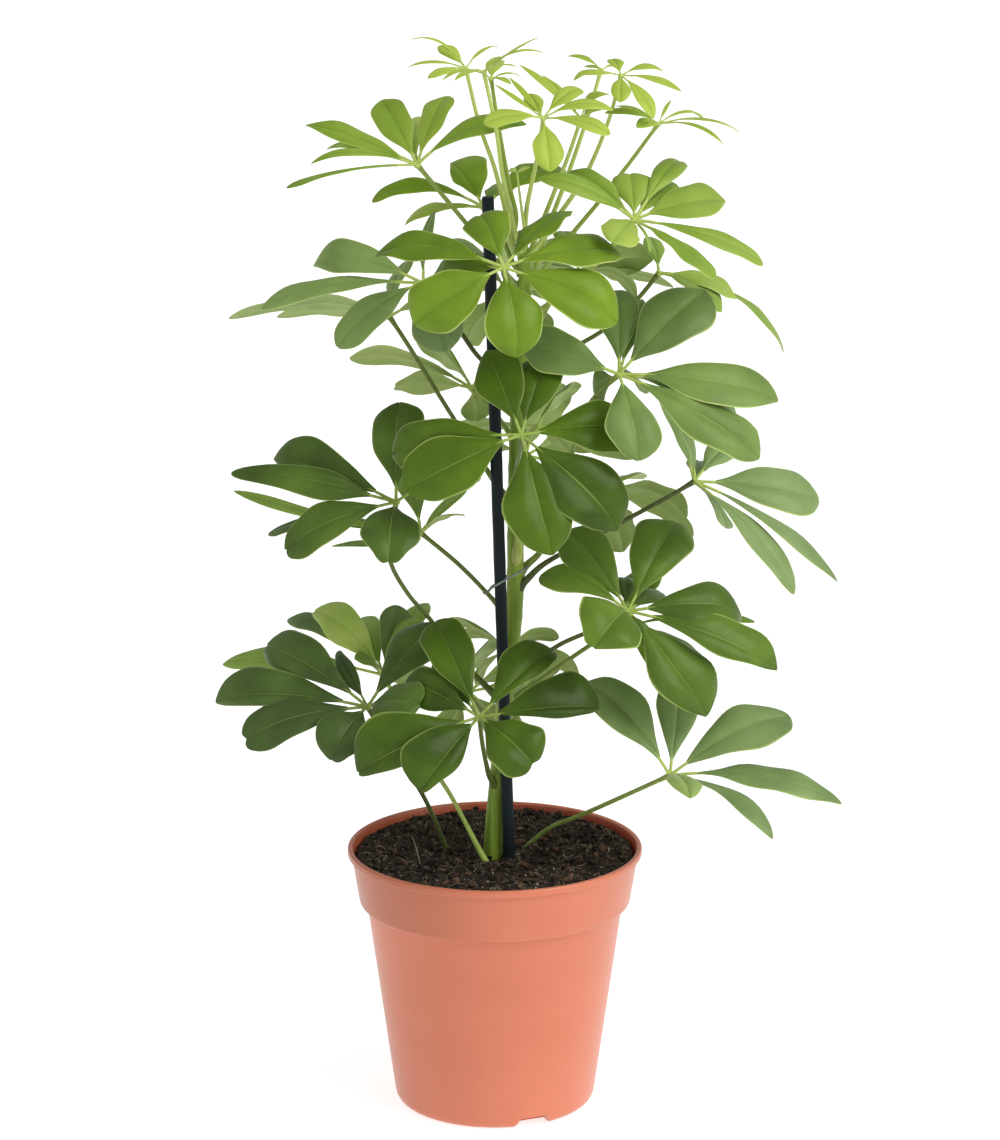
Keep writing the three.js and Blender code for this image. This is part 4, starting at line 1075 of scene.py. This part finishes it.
    # The stalk of the leaflet, from the hub into the foot of its blade
    shares = np.linspace(0, stalk_share * 1.25, 9)
    course = [middle(t) - frame_at(t)[1] * 0.25 * (t / stalk_share) for t in shares]
    stout = (0.62 if young else 0.9) * (0.8 if half < 6 else 1)
    radii = [stout * (1.35 - 0.35 * min(1, k / 2)) * (1 - 0.35 * max(0, k - 5) / 3) for k in range(9)]
    form.rod(course, radii, 8, stalk_slot, min(1, tone + 0.35))


def petiole_course(leaf):
    """The way of a petiole, from inside the compost or the stem to its hub."""
    if "soil" in leaf:
        across, toward = leaf["soil"]
        next_across, _, next_toward = leaf["via"][0]
        back_across, back_toward = (next_across - across) * 0.5, (next_toward - toward) * 0.5
        buried = [place(across - back_across, soil_level - 16, toward - back_toward)]
        start = place(across, soil_level, toward)
    else:
        up, angle = leaf["stem"]
        across, toward, radius = (
            np.interp(up, stem_ups, [row[i] for row in stem_course]) for i in (1, 2, 3))
        centre, turn = place(across, up, toward), math.radians(angle)
        way = np.array([math.cos(turn), math.sin(turn), 0])
        buried = [centre + way * (radius - 2.2) - (0, 0, 3.5), centre + way * (radius - 0.2)]
        start = centre + way * (radius + 2.6) + (0, 0, 2.6)
    return smooth_course([*buried, start, *(place(*p) for p in leaf["via"]), leaf["hub_at"]], count=46)


side_vein_pairs = 9


def leaf_material(name, tones, vein, vein_reach, shine, side_veins, rough):
    """Tones run from an old leaf to a young one; a pale midrib, side veins and an edge lie over them."""
    made = new_finish(name, {
        "Specular IOR Level": shine, "Specular Tint": (0.85, 1, 0.5, 1),
        "Coat Weight": 0.12, "Coat Roughness": 0.24,
    })
    tree = made.node_tree

    def sum_of(kind, *terms):
        return reckon(tree, kind, *terms)

    age = add_node(tree, "Attribute", {}, attribute_name="tone").outputs["Fac"]
    painted_sheen = add_node(tree, "Attribute", {}, attribute_name="painted_sheen").outputs["Fac"]
    where = add_node(tree, "TexCoord", {}).outputs["Object"]
    patches = cloud(tree, where, 38, 4)
    mottle = sum_of("MULTIPLY", sum_of("SUBTRACT", patches, 0.5), 0.5)
    toned = ramp(tree, sum_of("ADD", age, mottle), tones)
    # A painted sheen greys the blades that hang out to the side, standing in for the lamp's reflection on them
    with_painted_sheen = overlay(tree, sum_of("MULTIPLY", painted_sheen, sum_of("ADD", patches, 0.3)), toned, (0.30, 0.38, 0.24))
    blade = add_node(tree, "UVMap", {}, uv_map="blade").outputs["UV"]
    spot = add_node(tree, "SeparateXYZ", {"Vector": blade})
    off_middle = sum_of("ABSOLUTE", sum_of("MULTIPLY", sum_of("SUBTRACT", spot.outputs["X"], 0.5), 2.0))
    share = spot.outputs["Y"]
    midrib = span(tree, off_middle, vein_reach * 1.6, vein_reach * 0.5, kind="SMOOTHSTEP")
    # Side veins leave the midrib in pairs and bend toward the tip
    slope = sum_of("MULTIPLY", sum_of("POWER", off_middle, 1.25), 0.17)
    wave = sum_of("SINE", sum_of("MULTIPLY", sum_of("SUBTRACT", share, slope), 2 * math.pi * side_vein_pairs))
    fine_vein = span(tree, wave, 0.86, 1.0, kind="SMOOTHSTEP")
    side = sum_of("MULTIPLY", sum_of("MULTIPLY", fine_vein, span(tree, off_middle, 0.95, 0.3)), side_veins)
    # The midrib is palest at its foot and sinks into the blade toward the tip
    fading = sum_of("MULTIPLY", midrib, sum_of("SUBTRACT", 1.0, sum_of("MULTIPLY", share, 0.78)))
    veined = overlay(tree, sum_of("MULTIPLY", sum_of("MAXIMUM", fading, side), 0.8), with_painted_sheen, vein)
    # The very edge is a pale line, plainest on the younger leaves
    edge = span(tree, off_middle, 0.93, 0.985, kind="SMOOTHSTEP")
    plainness = sum_of("MINIMUM", 0.85, sum_of("ADD", 0.15, sum_of("MULTIPLY", age, 1.5)))
    edged = overlay(tree, sum_of("MULTIPLY", edge, plainness), veined, (0.46, 0.56, 0.17))
    pores = sum_of("MULTIPLY", cloud(tree, where, 900, 3), 0.35)
    puckered = sum_of("SUBTRACT", pores, sum_of("MULTIPLY", side, 1.5))
    feed(tree, tree.nodes["Principled BSDF"], {
        "Base Color": edged,
        "Roughness": span(tree, patches, 0, 1, (rough - 0.07, rough + 0.1)),
        "Normal": relief(tree, puckered, 0.35, 0.00035),
    })
    return made


upper_tones = [
    (0.0, (0.034, 0.062, 0.010)), (0.3, (0.078, 0.142, 0.010)), (0.6, (0.185, 0.295, 0.022)),
    (1.0, (0.37, 0.48, 0.07)),
]
under_tones = [
    (0.0, (0.15, 0.21, 0.055)), (0.3, (0.25, 0.34, 0.10)), (0.6, (0.38, 0.48, 0.16)),
    (1.0, (0.50, 0.60, 0.20)),
]
upper_skin = leaf_material("leaf_upper", upper_tones, (0.26, 0.38, 0.07), 0.014, 0.09, 0.04, 0.37)
under_skin = leaf_material("leaf_underside", under_tones, (0.44, 0.52, 0.22), 0.04, 0.2, 0.2, 0.55)


def stalk_material(name, colours):
    """Stalks are olive on an old leaf and lime on a young one."""
    made = grown_material(name, colours[0], colours[-1], 60, 0.45, 900, 0.0002)
    tree = made.node_tree
    age = add_node(tree, "Attribute", {}, attribute_name="tone").outputs["Fac"]
    patches = add_node(tree, "TexNoise", {"Scale": 70}).outputs["Fac"]
    stops = [(0.2 + 0.9 * k / (len(colours) - 1), colour) for k, colour in enumerate(colours)]
    toned = ramp(tree, reckon(tree, "MULTIPLY_ADD", patches, 0.4, age), stops)
    feed(tree, tree.nodes["Principled BSDF"], {"Base Color": toned})
    return made


stalk_skin = stalk_material(
    "leaf_stalk", [(0.06, 0.078, 0.02), (0.16, 0.22, 0.045), (0.30, 0.40, 0.08), (0.42, 0.52, 0.12)])
lime_stalk_skin = stalk_material(
    "young_leaf_stalk", [(0.085, 0.105, 0.032), (0.20, 0.28, 0.05), (0.33, 0.43, 0.08), (0.45, 0.55, 0.14)])


def leaf_body(name, form, young, sheen_share):
    """Makes one object of a leaf's sheets and rods, with its tone and painted sheen."""
    mesh = bpy.data.meshes.new(name)
    mesh.from_pydata(form.verts, [], form.faces)
    mesh.polygons.foreach_set("material_index", form.slots)
    blade_map = mesh.uv_layers.new(name="blade")
    corners = np.zeros(len(mesh.loops), dtype=np.int32)
    mesh.loops.foreach_get("vertex_index", corners)
    blade_map.data.foreach_set("uv", np.array(form.map)[corners].ravel())
    tone = mesh.attributes.new("tone", "FLOAT", "POINT")
    tone.data.foreach_set("value", form.tones)
    # The painted sheen, one share for the whole leaf, stands in for the lamp's reflection
    painted_sheen = mesh.attributes.new("painted_sheen", "FLOAT", "POINT")
    painted_sheen.data.foreach_set("value", [sheen_share] * len(form.tones))
    round_shading(mesh, 60)
    for material in (upper_skin, under_skin, lime_stalk_skin if young else stalk_skin):
        mesh.materials.append(material)
    body = put_in_scene(name, mesh)
    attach(body, "root")
    return body


petiole_radius = 1.3
hub_profile = [(-1.9, 0.9), (-1.5, 1.7), (-0.7, 2.15), (0.3, 2.0), (1.0, 1.3), (1.35, 0.4)]
for number, leaf in enumerate(leaves):
    luck = random.Random(100 + number)
    form = LeafForm()
    face, young, tone = leaf["face"], leaf.get("young", False), leaf["tone"]
    leaf["hub_at"] = place(*leaf["hub"])
    leaf["face_at"] = unit(np.array([face[0], -face[2], face[1]], float))
    for row in leaf["leaflets"]:
        add_leaflet(form, leaf, row, tone, luck)
    slim = 0.8 if young else 1
    course = petiole_course(leaf)
    radii = []
    for k in range(len(course)):
        share = k / (len(course) - 1)
        flare = 0.5 * max(0, (share - 0.93) / 0.07) ** 1.5
        # A young stalk is still full of sap low down and thins toward its hub
        swell = 0.62 * (1 - share) if young else 0.95 * max(0, 1 - share * 3) ** 1.5
        radii.append(slim * (petiole_radius + swell + 0.7 * math.exp(-((share / 0.05) ** 2)) + flare))
    form.rod(course, radii, 12, stalk_slot, leaf.get("stalk_tone", tone))
    # The hub, a low button where the stalks meet
    hub, up_way = leaf["hub_at"], leaf["face_at"]
    button = [hub + up_way * reach * slim for reach, _ in hub_profile]
    form.rod(button, [slim * radius for _, radius in hub_profile], 12, stalk_slot, min(1, tone + 0.35))
    grown = leaf_body(leaf["name"] + "_grown", form, young, leaf.get("painted_sheen", 0))
    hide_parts(leaf["name"])

# The youngest leaf, still a pale thread of a stalk with two tiny leaflets parting at its top. It rises from the
# growing tip among the young stalks, and is too thin to be a solid of its own.
thread_top = (12.5, 546.5, 12)
thread_arms = [((10.5, 548.3, 13), (7.6, 547, 14)), ((15.5, 548.6, 13), (19.5, 549.6, 14))]
thread_way = dict(hub_at=place(*thread_top), stem=(504, -70), via=[(16, 519, 12), (14, 534, 12)])
unopened = LeafForm()
thread = petiole_course(thread_way)
unopened.rod(thread, np.linspace(1.1, 0.6, len(thread)), 10, stalk_slot, 0.9)
for bend, tip in thread_arms:
    arm = smooth_course([place(*spot) for spot in (thread_top, bend, tip)], count=14)
    arm_radii = [0.45 + 0.75 * math.sin(math.pi * k / 13) ** 1.5 for k in range(14)]
    unopened.rod(arm, arm_radii, 10, stalk_slot, 1.0)
leaf_body("unopened_leaf", unopened, True, 0)
